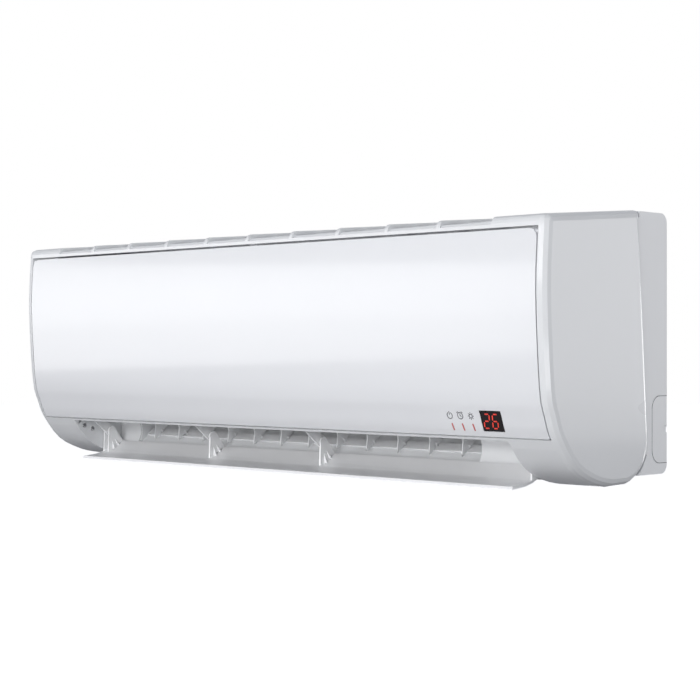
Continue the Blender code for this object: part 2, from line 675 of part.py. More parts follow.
def make_rear_chassis():
    outline = chassis_outline()
    chassis = prism("rear_chassis", outline, -CHASSIS_HALF, CHASSIS_HALF, inner_white())
    open_y, back_y = -CHASSIS_FRONT - 0.01, -GAP - WALL - PLATE_DEPTH
    floor_z, roof_z = CHASSIS_BOTTOM + WALL, CHASSIS_TOP - 0.0085 - WALL
    hollow = [(open_y, floor_z), (back_y, floor_z), (back_y, roof_z), (open_y, roof_z)]
    inner_half = CHASSIS_HALF - WALL
    cut(chassis, prism("hollow", hollow, -inner_half, inner_half))
    thin, thick = -GAP - WALL, -GAP - WALL - PLATE_DEPTH - 0.001
    low, high = CHASSIS_BOTTOM + WALL + 0.001, CHASSIS_TOP - 0.0095 - WALL
    rim = PLATE_HALF + GAP + WALL
    cut(chassis, box("thinner", (rim, inner_half - 0.001), (thick, thin), (low, high)),
        box("thinner", (-inner_half + 0.001, -rim), (thick, thin), (low, high)),
        box("thinner", (-rim - 0.001, rim + 0.001), (thick, thin), (low, PLATE_LOW - GAP - WALL)))
    scroll = scroll_line()
    left, right = DUCT_LEFT - DUCT_WALL, DUCT_RIGHT + DUCT_WALL
    join(chassis, prism("scroll", ribbon(scroll, 0.0, WALL), DUCT_LEFT - 0.001, DUCT_RIGHT + 0.001))
    trough_z = scroll[0][1]
    trough = [(scroll[0][0] + 0.0005, trough_z - 0.0022), (-WALL, trough_z - 0.0022), (-WALL, trough_z),
              (scroll[0][0] + 0.0005, trough_z)]
    join(chassis, prism("trough", trough, DUCT_LEFT - 0.001, DUCT_RIGHT + 0.001))
    rear = -CHASSIS_FRONT + 0.002
    floor = [(rear, CHASSIS_BOTTOM + 0.0001), (rear, CHASSIS_BOTTOM + WALL), (KEEL_Y, 0.0058),
             (LIP_Y + 0.0030, LIP_Z + 0.0008), (LIP_Y - 0.0002, LIP_Z - 0.0012), (KEEL_Y, 0.0032)]
    join(chassis, prism("underside", floor, OUTLET_LEFT + GAP, OUTLET_RIGHT - GAP))
    for low in (left, DUCT_RIGHT):
        side = prism("duct_side", duct_side_outline(), low, low + DUCT_WALL)
        cut(side, rod("shaft_hole", (low - 0.01, FAN_Y, FAN_Z), (low + 0.01, FAN_Y, FAN_Z),
                      BEARING_RADIUS + GAP if low < 0 else SHAFT_RADIUS + 0.003, sides=24))
        join(chassis, side)
    cover = ribbon(arc((FLAP_PIVOT_Y, FLAP_PIVOT_Z), SWEEP_RADIUS, 45, -62, 6), 0.0001, -0.0021)
    join(chassis, prism("left_cover", cover, OUTLET_LEFT + GAP, DUCT_LEFT - 0.001))
    join(chassis, prism("right_cover", cover, DUCT_RIGHT + 0.001, OUTLET_RIGHT - GAP))
    windows = []
    width = (DUCT_RIGHT - DUCT_LEFT) / 4
    for index in range(4):
        low = DUCT_LEFT + index * width
        windows.append(box("pocket", (low + 0.006, low + width - 0.006),
                           (-GAP - WALL - PLATE_DEPTH - 0.001, 0.01),
                           (0.030, PLATE_LOW - 0.008)))
    cut(chassis, gather("pockets", windows, None))
    cut(chassis, box("plate_room", (-PLATE_HALF - GAP, PLATE_HALF + GAP), (-PLATE_DEPTH, 0.01),
                     (PLATE_LOW - GAP, PLATE_HIGH + GAP)))
    for side in (-1, 1):
        ends = sorted((side * (CHASSIS_HALF + 0.001), side * (CHASSIS_HALF - WALL - 0.001)))
        cut(chassis, prism("knockout", knockout_outline(0.0, 0.01), *ends))
        ends = sorted((side * (OUTLET_RIGHT - 0.0045), side * (CHASSIS_HALF + 0.001)))
        cut(chassis, prism("heel", heel_room(), *ends))
    # saddle for the fan motor: two ribs from the back wall, cut to the motor's round
    for x in (MOTOR_X + 0.010, MOTOR_X + MOTOR_LENGTH - 0.013):
        rib = [(-GAP - WALL / 2, FAN_Z - 0.052), (-GAP - WALL / 2, FAN_Z + 0.034), (FAN_Y, FAN_Z + 0.034),
               (FAN_Y, FAN_Z - 0.052)]
        saddle = prism("saddle", rib, x, x + 0.003)
        cut(saddle, rod("round", (x - 0.01, FAN_Y, FAN_Z), (x + 0.02, FAN_Y, FAN_Z), MOTOR_RADIUS + GAP,
                        sides=32))
        join(chassis, saddle)
    return smooth_shading(chassis)


def make_wall_plate():
    """The steel plate that is screwed to the wall; the chassis hangs on its hooks."""
    plate = box("wall_plate", (-PLATE_HALF, PLATE_HALF), (-0.0012, 0.0), (PLATE_LOW, PLATE_HIGH),
                galvanised())
    holes = []
    for x in (-PLATE_HALF + 0.045, 0.0, PLATE_HALF - 0.045):
        for z in (PLATE_LOW + 0.022, PLATE_HIGH - 0.030):
            holes.append(rod("hole", (x, -0.01, z), (x, 0.01, z), 0.0030, sides=10))
    cut(plate, gather("holes", holes, None))
    for x in (-PLATE_HALF + 0.075, PLATE_HALF - 0.075):
        join(plate, box("standoff", (x - 0.014, x + 0.014), (-PLATE_DEPTH + GAP, -0.0008),
                        (PLATE_HIGH - 0.016, PLATE_HIGH - 0.0002)))
        join(plate, box("foot", (x - 0.012, x + 0.012), (-PLATE_DEPTH + GAP, -0.0008),
                        (PLATE_LOW + 0.0002, PLATE_LOW + 0.012)))
    return plate


def make_knockout(name, side):
    """The plain cover over the pipe outlet in the chassis's side, with a finger notch."""
    outer = side * CHASSIS_HALF
    inner = side * (CHASSIS_HALF - WALL)
    outline = knockout_outline(GAP, -2 * GAP)
    cover = prism(name, outline, min(outer, inner), max(outer, inner), inner_white())
    notch = rod("notch", (outer + side * 0.001, -0.0040, 0.0546), (outer - side * 0.001, -0.0040, 0.0546),
                0.0045, sides=16)
    return cut(cover, notch)


# Drain tray, which is also the duct's ceiling

TRAY_WALL = 0.0024
TRAY_HIGH, TRAY_LOW = 0.1020, 0.0600
CEILING_STEP = (WALL_Y + 0.0480, 0.0655)
CEILING_TIP = (WALL_Y + 0.0495, 0.0870)
TRAY_END_INSET = 0.0016


def tray_front():
    """The tray's front wall stands against the back of the casing's recess."""
    return between(offset(recess_line(), RECESS_DEPTH + WALL + 2 * GAP), TRAY_HIGH, TRAY_LOW)


def make_drain_tray():
    front = tray_front()
    line = front + [CEILING_STEP, CEILING_TIP]
    left, right = OUTLET_LEFT + 0.0008, OUTLET_RIGHT - 0.0008
    tray = prism("drain_tray", ribbon(line, 0.0, TRAY_WALL), left, right, inner_white())
    inner = offset(line, TRAY_WALL / 2)
    for low in (left + TRAY_END_INSET, right - TRAY_END_INSET - TRAY_WALL):
        join(tray, prism("end", inner[1:], low, low + TRAY_WALL))
    return tray


# Coil: three slabs of fins, their end plates and the tube bends

FRONT_LOW = (WALL_Y + 0.0390, 0.0910)
FRONT_KNEE = (WALL_Y + 0.0390, TOP_Z - 0.1100)
UPPER_FOOT = (WALL_Y + 0.0505, TOP_Z - 0.0960)
APEX_FRONT = (WALL_Y + 0.0870, TOP_Z - 0.0530)
APEX_REAR = (WALL_Y + 0.1190, TOP_Z - 0.0530)
REAR_FOOT = (WALL_Y + 0.1590, 0.1690)
COIL_LEFT, COIL_RIGHT = DUCT_LEFT - 0.006, DUCT_RIGHT + 0.004


def slab_outline(start, end, trim=0.0):
    """A slab's closed side outline about its middle line; trim makes it that much smaller all round."""
    start, end = Vector(start), Vector(end)
    along = (end - start).normalized()
    across = Vector((-along.y, along.x)) * (SLAB / 2 - trim)
    return [tuple(p) for p in (start + across + along * trim, start - across + along * trim,
                               end - across - along * trim, end + across - along * trim)]


def make_slab(name, start, end):
    """Blocks of fins side by side on a core that lies a little behind their faces."""
    low, high = COIL_LEFT + END_PLATE + GAP, COIL_RIGHT - END_PLATE - GAP
    pitch = (high - low + FIN_SLOT) / FIN_BLOCKS
    blocks = [prism("block", slab_outline(start, end), low + index * pitch,
                    low + (index + 1) * pitch - FIN_SLOT)
              for index in range(FIN_BLOCKS)]
    slab = gather(name, blocks, aluminium())
    return join(slab, prism("core", slab_outline(start, end, FIN_SLOT_DEPTH), low + FIN_SLOT,
                            high - FIN_SLOT))


def coil_slabs():
    return {"coil_front_lower": (FRONT_KNEE, FRONT_LOW), "coil_front_upper": (APEX_FRONT, UPPER_FOOT),
            "coil_rear": (REAR_FOOT, APEX_REAR)}


def make_end_plate(name, low):
    """A thin steel sheet that ties the three slabs together at one end."""
    setback = [(0.0265, 0.0915), (0.0515, 0.0915), (0.0515, TOP_Z - 0.1180), (0.0830, TOP_Z - 0.0740),
               (0.1160, TOP_Z - 0.0740), (0.1480, 0.1615), (0.1695, 0.1765), (0.1290, TOP_Z - 0.0430),
               (0.0810, TOP_Z - 0.0430), (0.0265, TOP_Z - 0.1050)]
    points = [(WALL_Y + distance, height) for distance, height in setback]
    return prism(name, points, low, low + END_PLATE, galvanised())


def hairpin(middle, along):
    """One tube bend that stands out of the left end plate, as a swept tube."""
    curve = bpy.data.curves.new("bend", "CURVE")
    curve.dimensions = "3D"
    curve.bevel_depth = TUBE_RADIUS
    curve.bevel_resolution = 1
    curve.use_fill_caps = True
    spline = curve.splines.new("POLY")
    path = [(END_PLATE / 2, -BEND_HALF)]
    for angle in (10, 90, 170):
        turn = math.radians(angle)
        path.append((-BEND_REACH - 0.9 * BEND_HALF * math.sin(turn), -BEND_HALF * math.cos(turn)))
    path.append((END_PLATE / 2, BEND_HALF))
    spline.points.add(len(path) - 1)
    for point, (x, t) in zip(spline.points, path):
        point.co = (COIL_LEFT + x, middle.x + along.x * t, middle.y + along.y * t, 1.0)
    made = bpy.data.objects.new("bend", curve)
    bpy.context.collection.objects.link(made)
    bpy.context.view_layer.update()
    shape = bmesh.new()
    graph = bpy.context.evaluated_depsgraph_get()
    shape.from_mesh(bpy.data.meshes.new_from_object(made.evaluated_get(graph)))
    bpy.data.objects.remove(made)
    bmesh.ops.remove_doubles(shape, verts=shape.verts, dist=0.00005)
    return from_bmesh("bend", shape)


def make_coil_end():
    """The left end plate with the hairpin bends brazed to it."""
    plate = make_end_plate("coil_end_plate_left", COIL_LEFT)
    bends = []
    for start, end in coil_slabs().values():
        start, end = Vector(start), Vector(end)
        along = (end - start).normalized()
        across = Vector((-along.y, along.x))
        length = (end - start).length
        count = max(int(length / BEND_PITCH), 1)
        for index in range(count):
            for side in (-1, 1):
                middle = start + along * ((index + 0.5) * length / count) + across * side * SLAB / 4
                bends.append(hairpin(middle, along))
    return smooth_shading(join(plate, gather("bends", bends, None)))


# Cross-flow fan, its shaft, bearing and motor

HUB_RADIUS, HUB_LENGTH = 0.0115, 0.020
BEARING_STUB = 0.016


def blade_outline(angle):
    """One forward-curved blade, as a bowed strip between two radii."""
    inner, outer = FAN_RADIUS - BLADE_DEPTH, FAN_RADIUS - 0.0006
    line = []
    for step in range(3):
        share = step / 2
        radius = inner + (outer - inner) * share
        turn = angle + math.radians(-13.0 * share * share + 2.0 * share)
        line.append((FAN_Y + radius * math.cos(turn), FAN_Z + radius * math.sin(turn)))
    return ribbon(line, -0.0005, 0.0006)


def make_fan():
    low, high = DUCT_LEFT + FAN_END_GAP, DUCT_RIGHT - FAN_END_GAP
    blades = []
    for index in range(BLADE_COUNT):
        outline = blade_outline(2 * math.pi * index / BLADE_COUNT)
        blades.append(prism("blade", outline, low + DISC_WALL / 2, high - DISC_WALL / 2))
    fan = gather("cross_flow_fan", blades, dark_plastic())
    pitch = (high - low - DISC_WALL) / (DISC_COUNT - 1)
    for index in range(DISC_COUNT):
        start = low + index * pitch
        join(fan, rod("disc", (start, FAN_Y, FAN_Z), (start + DISC_WALL, FAN_Y, FAN_Z), FAN_RADIUS, sides=20))
    join(fan, rod("hub", (high - HUB_LENGTH, FAN_Y, FAN_Z), (high - 0.0005, FAN_Y, FAN_Z), HUB_RADIUS,
                  sides=12))
    join(fan, rod("boss", (low + 0.0005, FAN_Y, FAN_Z), (low + BEARING_STUB, FAN_Y, FAN_Z), HUB_RADIUS,
                  sides=12))
    cut(fan, rod("bore", (high - HUB_LENGTH + 0.002, FAN_Y, FAN_Z), (high + 0.01, FAN_Y, FAN_Z),
                 SHAFT_RADIUS + GAP, sides=12))
    cut(fan, rod("bore", (low - 0.01, FAN_Y, FAN_Z), (low + BEARING_STUB - 0.002, FAN_Y, FAN_Z),
                 SHAFT_RADIUS + GAP, sides=12))
    return smooth_shading(fan)


def make_motor_shaft():
    """The motor's shaft runs through the duct's right wall into the fan's hub."""
    high = DUCT_RIGHT - FAN_END_GAP
    return smooth_shading(rod("motor_shaft", (high - HUB_LENGTH + 0.0025, FAN_Y, FAN_Z),
                              (MOTOR_X + 0.011, FAN_Y, FAN_Z),
                              SHAFT_RADIUS, steel()))


def make_bearing_stub():
    """The steel pin of the fan's left end, which turns in the bearing."""
    low = DUCT_LEFT + FAN_END_GAP
    return smooth_shading(rod("bearing_stub", (DUCT_LEFT - BEARING_WIDTH + 0.001, FAN_Y, FAN_Z),
                              (low + BEARING_STUB - 0.0025, FAN_Y, FAN_Z), SHAFT_RADIUS, steel()))


def make_bearing():
    """A rubber-mounted bearing in the left side wall of the duct."""
    low = DUCT_LEFT - BEARING_WIDTH
    bearing = rod("fan_bearing", (low, FAN_Y, FAN_Z), (low + BEARING_WIDTH, FAN_Y, FAN_Z), BEARING_RADIUS,
                  rubber(), sides=24)
    flange = rod("flange", (low, FAN_Y, FAN_Z), (DUCT_LEFT - DUCT_WALL - GAP, FAN_Y, FAN_Z),
                 BEARING_RADIUS + 0.003, sides=24)
    join(bearing, flange)
    return smooth_shading(cut(bearing, rod("bore", (low - 0.01, FAN_Y, FAN_Z), (low + 0.02, FAN_Y, FAN_Z),
                                           SHAFT_RADIUS + GAP)))


def make_motor():
    end = MOTOR_X + MOTOR_LENGTH
    motor = rod("fan_motor", (MOTOR_X, FAN_Y, FAN_Z), (end, FAN_Y, FAN_Z), MOTOR_RADIUS, inner_white(),
                sides=24)
    join(motor, rod("nose", (MOTOR_X - 0.006, FAN_Y, FAN_Z), (MOTOR_X + 0.001, FAN_Y, FAN_Z), 0.011,
                    sides=20))
    join(motor, rod("tail", (end - 0.001, FAN_Y, FAN_Z), (end + 0.006, FAN_Y, FAN_Z), 0.012, sides=20))
    cut(motor, rod("bore", (MOTOR_X - 0.02, FAN_Y, FAN_Z), (MOTOR_X + 0.012, FAN_Y, FAN_Z),
                   SHAFT_RADIUS + RUNNING_GAP))
    return smooth_shading(motor)


def make_motor_clamp():
    """The strap that holds the motor down on its two saddles."""
    centre = (FAN_Y, FAN_Z)
    line = arc(centre, MOTOR_RADIUS + GAP, 92, 268, 16)
    strap = ribbon(line, 0.0, -0.0018)
    middle = MOTOR_X + MOTOR_LENGTH / 2
    return smooth_shading(prism("motor_clamp", strap, middle - 0.009, middle + 0.009, galvanised()))


# Flap, its lugs and what carries it

LUG_RADIUS = 0.0058
LUG_HALF = 0.0150
GUSSET = 0.0045


def turn_point(point, degrees):
    """Turn a side-view point about the flap's pivot."""
    angle = math.radians(degrees)
    y, z = point[0] - FLAP_PIVOT_Y, point[1] - FLAP_PIVOT_Z
    return (FLAP_PIVOT_Y + y * math.cos(angle) - z * math.sin(angle),
            FLAP_PIVOT_Z + y * math.sin(angle) + z * math.cos(angle))


def flap_line():
    """The flap's outer face when closed: it carries on the casing's own line."""
    rail_z = PANEL_BOTTOM - PANEL_GAP - RAIL_WALL
    return between(front_line(), rail_z - PANEL_GAP, 0.0080)


def make_flap():
    def placed(outline):
        return [turn_point(p, FLAP_REST) for p in outline]

    skin = ribbon(flap_line(), 0.0, FLAP_WALL)
    flap = prism("air_flap", placed(skin), FLAP_LEFT, FLAP_RIGHT, panel_white())
    inner = offset(flap_line(), FLAP_WALL - 0.0008)
    near = min(range(len(inner)), key=lambda i: math.dist(inner[i], (FLAP_PIVOT_Y, FLAP_PIVOT_Z)))
    foot = inner[max(near - 2, 0):near + 2]
    cheek = [*foot, *arc((FLAP_PIVOT_Y, FLAP_PIVOT_Z), LUG_RADIUS, -20, 150, 6)]
    side = placed(cheek)
    lugs = [(x + BRACKET_WALL / 2 + RUNNING_GAP, x + BRACKET_WALL / 2 + RUNNING_GAP + BRACKET_WALL,
             x - BRACKET_WALL / 2 - 0.0008)
            for x in BRACKETS]
    lugs.append((FLAP_RIGHT - BRACKET_WALL - GAP, FLAP_RIGHT - GAP, OUTLET_RIGHT + CORNER_WEB + 0.0008))
    lugs.append((FLAP_LEFT + GAP, FLAP_LEFT + GAP + BRACKET_WALL, OUTLET_LEFT - CORNER_WEB - 0.0040))
    for low, high, pin_end in lugs:
        join(flap, prism("lug", side, low, high))
        start = high - 0.0003 if pin_end < low else low + 0.0003
        join(flap, rod("pin", (start, FLAP_PIVOT_Y, FLAP_PIVOT_Z), (pin_end, FLAP_PIVOT_Y, FLAP_PIVOT_Z),
                       FLAP_PIN, sides=12))
    for low, high, pin_end in lugs[:3]:
        for share in (0.30, 0.62):
            base = Vector(foot[0]).lerp(Vector(foot[-1]), share)
            apex = base.lerp(Vector((FLAP_PIVOT_Y, FLAP_PIVOT_Z)), 0.52)
            along = (Vector(foot[-1]) - Vector(foot[0])).normalized() * 0.0006
            points = [placed([tuple(base - along)])[0], placed([tuple(base + along)])[0],
                      placed([tuple(apex + along)])[0], placed([tuple(apex - along)])[0]]
            shape = bmesh.new()
            root = high - 0.0004
            rings = [[shape.verts.new((root, *p)) for p in points],
                     [shape.verts.new((root + GUSSET, *p)) for p in points[:2]]]
            shape.faces.new(rings[0])
            shape.faces.new((rings[0][0], rings[0][1], rings[1][1], rings[1][0]))
            shape.faces.new((rings[1][0], rings[1][1], rings[0][2], rings[0][3]))
            shape.faces.new((rings[0][1], rings[0][2], rings[1][1]))
            shape.faces.new((rings[0][3], rings[0][0], rings[1][0]))
            join(flap, from_bmesh("gusset", shape))
    return smooth_shading(flap)


def make_bracket(name, x):
    """An arm that hangs from the duct's ceiling and holds one of the flap's pins."""
    front = tray_front()[-1]
    ceiling = offset([(front[0] + 0.0025,
                       front[1] + 0.0025 * (CEILING_STEP[1] - front[1]) / (CEILING_STEP[0] - front[0])),
                      CEILING_STEP], -GAP)
    ceiling[1] = (ceiling[1][0] - 0.0012, ceiling[1][1] - 0.0005)
    eye = arc((FLAP_PIVOT_Y, FLAP_PIVOT_Z), 0.0068, 60, -125, 7)
    outline = [*ceiling, (WALL_Y + 0.0640, 0.0470), *eye, (WALL_Y + 0.0580, 0.0395),
               (WALL_Y + 0.0390, 0.0545)]
    arm = prism(name, outline, x - BRACKET_WALL / 2, x + BRACKET_WALL / 2, inner_white())
    hole = rod("eye", (x - 0.01, FLAP_PIVOT_Y, FLAP_PIVOT_Z), (x + 0.01, FLAP_PIVOT_Y, FLAP_PIVOT_Z),
               FLAP_PIN + RUNNING_GAP / 2, sides=16)
    return smooth_shading(cut(arm, hole))


def make_flap_motor():
    """The small stepping motor behind the left corner piece."""
    start = OUTLET_LEFT - CORNER_WEB - GAP
    body = rod("flap_motor", (start, FLAP_PIVOT_Y, FLAP_PIVOT_Z),
               (start - 0.0190, FLAP_PIVOT_Y, FLAP_PIVOT_Z), 0.0125, steel(), sides=24)
    cut(body, rod("socket", (start + 0.001, FLAP_PIVOT_Y, FLAP_PIVOT_Z),
                  (start - 0.0052, FLAP_PIVOT_Y, FLAP_PIVOT_Z), FLAP_PIN + RUNNING_GAP, sides=12))
    return smooth_shading(body)


# Vertical vanes: their frame of reference stands square to the duct's floor

VANE_BASE = (WALL_Y + 0.1175, 0.0297)
STRIP_WALL = 0.0022
STRIP_HALF = 0.0060
VANE_PIN, LINK_PIN = 0.0014, 0.0012
VANE_LOW, VANE_HIGH = 0.0034, 0.0260
LINK_WALL = 0.0020
SLOT_GAP = 0.0005


def vane_axis():
    lean = math.radians(VANE_LEAN + 5.0)
    return Vector((0.0, -math.sin(lean), math.cos(lean)))


def vane_upstream():
    lean = math.radians(VANE_LEAN + 5.0)
    return Vector((0.0, math.cos(lean), math.sin(lean)))


def on_floor(x, upstream, height):
    """A point given along the duct's floor and square to it."""
    return Vector((x, *VANE_BASE)) + vane_upstream() * upstream + vane_axis() * height


def floor_prism(name, outline, low, high, finish=None):
    """Extrude along x an outline given as (along the floor, square to it)."""
    side = [tuple(on_floor(0.0, u, s))[1:] for u, s in outline]
    return prism(name, side, low, high, finish)


def vane_places():
    first = (DUCT_LEFT + DUCT_RIGHT) / 2 - VANE_PITCH * (VANE_COUNT - 1) / 2
    return [first + index * VANE_PITCH for index in range(VANE_COUNT)]


def make_vane(name, x):
    outline = [(-0.0150, VANE_LOW), (0.0175, VANE_LOW), (0.0185, 0.0120), (0.0150, VANE_HIGH),
               (-0.0005, VANE_HIGH), (-0.0050, 0.0150), (-0.0150, 0.0060)]
    vane = floor_prism(name, outline, x - VANE_WALL / 2, x + VANE_WALL / 2, inner_white())
    join(vane, rod("foot", on_floor(x, 0, 2 * GAP), on_floor(x, 0, VANE_LOW + 0.0040), VANE_PIN, sides=6))
    join(vane, rod("link_pin", on_floor(x, VANE_ARM, VANE_HIGH - 0.0030),
                   on_floor(x, VANE_ARM, VANE_HIGH + 0.0034), LINK_PIN, sides=6))
    return vane


def make_vane_strip():
    """The strip on the duct's floor in which all the vanes stand."""
    outline = [(-STRIP_HALF, GAP), (STRIP_HALF, GAP), (STRIP_HALF, STRIP_WALL), (-STRIP_HALF, STRIP_WALL)]
    strip = floor_prism("vane_strip", outline, DUCT_LEFT + 0.0010, DUCT_RIGHT - 0.0010, inner_white())
    holes = [rod("hole", on_floor(x, 0, -0.002), on_floor(x, 0, 0.006), VANE_PIN + RUNNING_GAP,
                 sides=6) for x in vane_places()]
    return cut(strip, gather("holes", holes, None))


def make_link(name, places):
    """The bar that turns one group of vanes together; its slots let the pins swing in an arc."""
    low, high = VANE_HIGH + RUNNING_GAP, VANE_HIGH + RUNNING_GAP + LINK_WALL
    back = VANE_ARM * math.cos(math.radians(VANE_SWING))
    slip = VANE_ARM * (math.radians(VANE_SWING) - math.sin(math.radians(VANE_SWING)))
    reach = LINK_PIN + SLOT_GAP
    bar = floor_prism(name, [(back - reach - 0.0016, low), (VANE_ARM + reach + 0.0016, low),
                             (VANE_ARM + reach + 0.0016, high), (back - reach - 0.0016, high)],
                      places[0] - 0.008, places[-1] + 0.008, inner_white())
    slots = []
    for x in places:
        slots.append(floor_prism("slot", [(back - reach, low - 0.001), (VANE_ARM + reach, low - 0.001),
                                          (VANE_ARM + reach, high + 0.001), (back - reach, high + 0.001)],
                                 x - reach - slip, x + reach + slip))
    return cut(bar, gather("slots", slots, None))


# Filters

def filter_path():
    """The outer face of a filter: up the recess, round a bend and back under the grille."""
    depth = RECESS_DEPTH - FILTER_GAP - FILTER_WALL
    front = offset(between(recess_line(), FILTER_BEND, FILTER_LOW), depth)[::-1]
    centre = (front[-1][0] + FILTER_BEND_RADIUS, FILTER_BEND)
    bend = arc(centre, FILTER_BEND_RADIUS, 165, 96, 4)
    slope = TOP_RISE / (CASE_DEPTH - CASE_BACK_TOP)
    end = (-FILTER_END, bend[-1][1] + slope * (-FILTER_END - bend[-1][0]))
    return front + bend + [end]


def make_filter(name, low, high):
    path = filter_path()
    low, high = low + FILTER_GAP + 0.0010, high - FILTER_GAP
    screen = prism(name, ribbon(path, 0.0, -FILTER_WALL), low, high, net_grey())
    bar = 0.008
    width = (high - low - bar) / 3
    inner = path[1:]
    inner[-1] = (inner[-1][0] - bar, inner[-1][1] - bar * TOP_RISE / (CASE_DEPTH - CASE_BACK_TOP))
    pockets = [prism("pocket", ribbon(inner, 0.002, -FILTER_WALL / 2), low + bar + column * width,
                     low + (column + 1) * width)
               for column in range(3)]
    return smooth_shading(cut(screen, gather("pockets", pockets, None)))


# Electrical box, button and sensor

BOX_LEFT, BOX_RIGHT = OUTLET_RIGHT + 0.0015, CHASSIS_HALF - WALL - GAP
BOX_FRONT, BOX_REAR = WALL_Y + 0.0238, -0.0500
BOX_LOW, BOX_HIGH = 0.0900, TOP_Z - 0.0460
BOX_WALL = 0.0020
COVER_WALL = 0.0017


def make_control_box():
    box_shell = box("control_box", (BOX_LEFT, BOX_RIGHT), (BOX_FRONT, BOX_REAR), (BOX_LOW, BOX_HIGH),
                    inner_white())
    inside = box("inside", (BOX_LEFT + BOX_WALL, BOX_RIGHT - BOX_WALL),
                 (BOX_FRONT - 0.01, BOX_REAR - BOX_WALL),
                 (BOX_LOW + BOX_WALL, BOX_HIGH - BOX_WALL))
    return cut(box_shell, inside)


def make_control_cover():
    cover = box("control_box_cover", (BOX_LEFT, BOX_RIGHT - 0.0010),
                (BOX_FRONT - GAP - COVER_WALL, BOX_FRONT - GAP),
                (BOX_LOW, BOX_HIGH), inner_white())
    return cover


def make_control_board():
    y = BOX_REAR - 0.0400
    x0, x1 = BOX_LEFT + BOX_WALL + GAP, BOX_RIGHT - BOX_WALL - GAP
    z0, z1 = BOX_LOW + BOX_WALL + GAP, BOX_HIGH - BOX_WALL - GAP
    board = box("control_board", (x0, x1), (y, y + 0.0016), (z0, z1), board_green())
    join(board, box("relay", (x0 + 0.006, x0 + 0.024), (y - 0.016, y + 0.0005), (z1 - 0.032, z1 - 0.010)))
    join(board, box("transformer", (x0 + 0.028, x0 + 0.048), (y - 0.022, y + 0.0005),
                    (z1 - 0.060, z1 - 0.036)))
    for index in range(3):
        x = x0 + 0.012 + index * 0.014
        join(board, rod("capacitor", (x, y + 0.0005, z0 + 0.060), (x, y - 0.020, z0 + 0.060), 0.0050,
                        sides=12))
    return board


def make_terminal_block():
    x0, x1 = BOX_LEFT + BOX_WALL + GAP, BOX_RIGHT - BOX_WALL - GAP
    z0 = BOX_LOW + BOX_WALL + GAP
    y0, y1 = BOX_FRONT + 0.0342, BOX_FRONT + 0.0542
    block = box("terminal_block", (x0, x1), (y0, y1), (z0, z0 + 0.016), dark_plastic())
    wells = [box("well", (x0 + 0.005 + i * 0.012, x0 + 0.011 + i * 0.012), (y0 + 0.004, y1 - 0.004),
                 (z0 + 0.010, z0 + 0.020))
             for i in range(4)]
    return cut(block, gather("wells", wells, None))


def make_button():
    """The emergency button in the recess, reached when the panel is open."""
    wall = offset(recess_line(), RECESS_DEPTH)
    face = at_height(wall, BUTTON_Z)
    back = face + WALL + 0.0010
    button = rod("emergency_button", (BUTTON_X, face - 0.0022, BUTTON_Z),
                 (BUTTON_X, back + 0.0002, BUTTON_Z), BUTTON_RADIUS, white(), sides=16)
    join(button, rod("flange", (BUTTON_X, back, BUTTON_Z), (BUTTON_X, back + 0.0012, BUTTON_Z),
                     BUTTON_RADIUS + 0.0016, sides=16))
    return smooth_shading(button)


def make_sensor():
    left = COIL_RIGHT + GAP
    y = FRONT_LOW[0] - 0.0050
    sensor = box("room_sensor", (left, left + 0.0040), (y - 0.0040, y + 0.0040), (0.1300, 0.1480),
                 inner_white())
    return join(sensor, rod("bead", (left + 0.0030, y, 0.1460), (left + 0.0030, y, 0.1560), 0.0020, sides=10))


def cover_screw_places():
    return [(x, z) for x in (BOX_LEFT + 0.006, BOX_RIGHT - 0.008)
            for z in (BOX_LOW + 0.007, BOX_HIGH - 0.007)]


def make_cover_screw(name, x, z):
    y = BOX_FRONT - 2 * GAP - COVER_WALL
    return rod(name, (x, y, z), (x, y - 0.0011, z), 0.0028, steel(), sides=12, end_radius=0.0020)


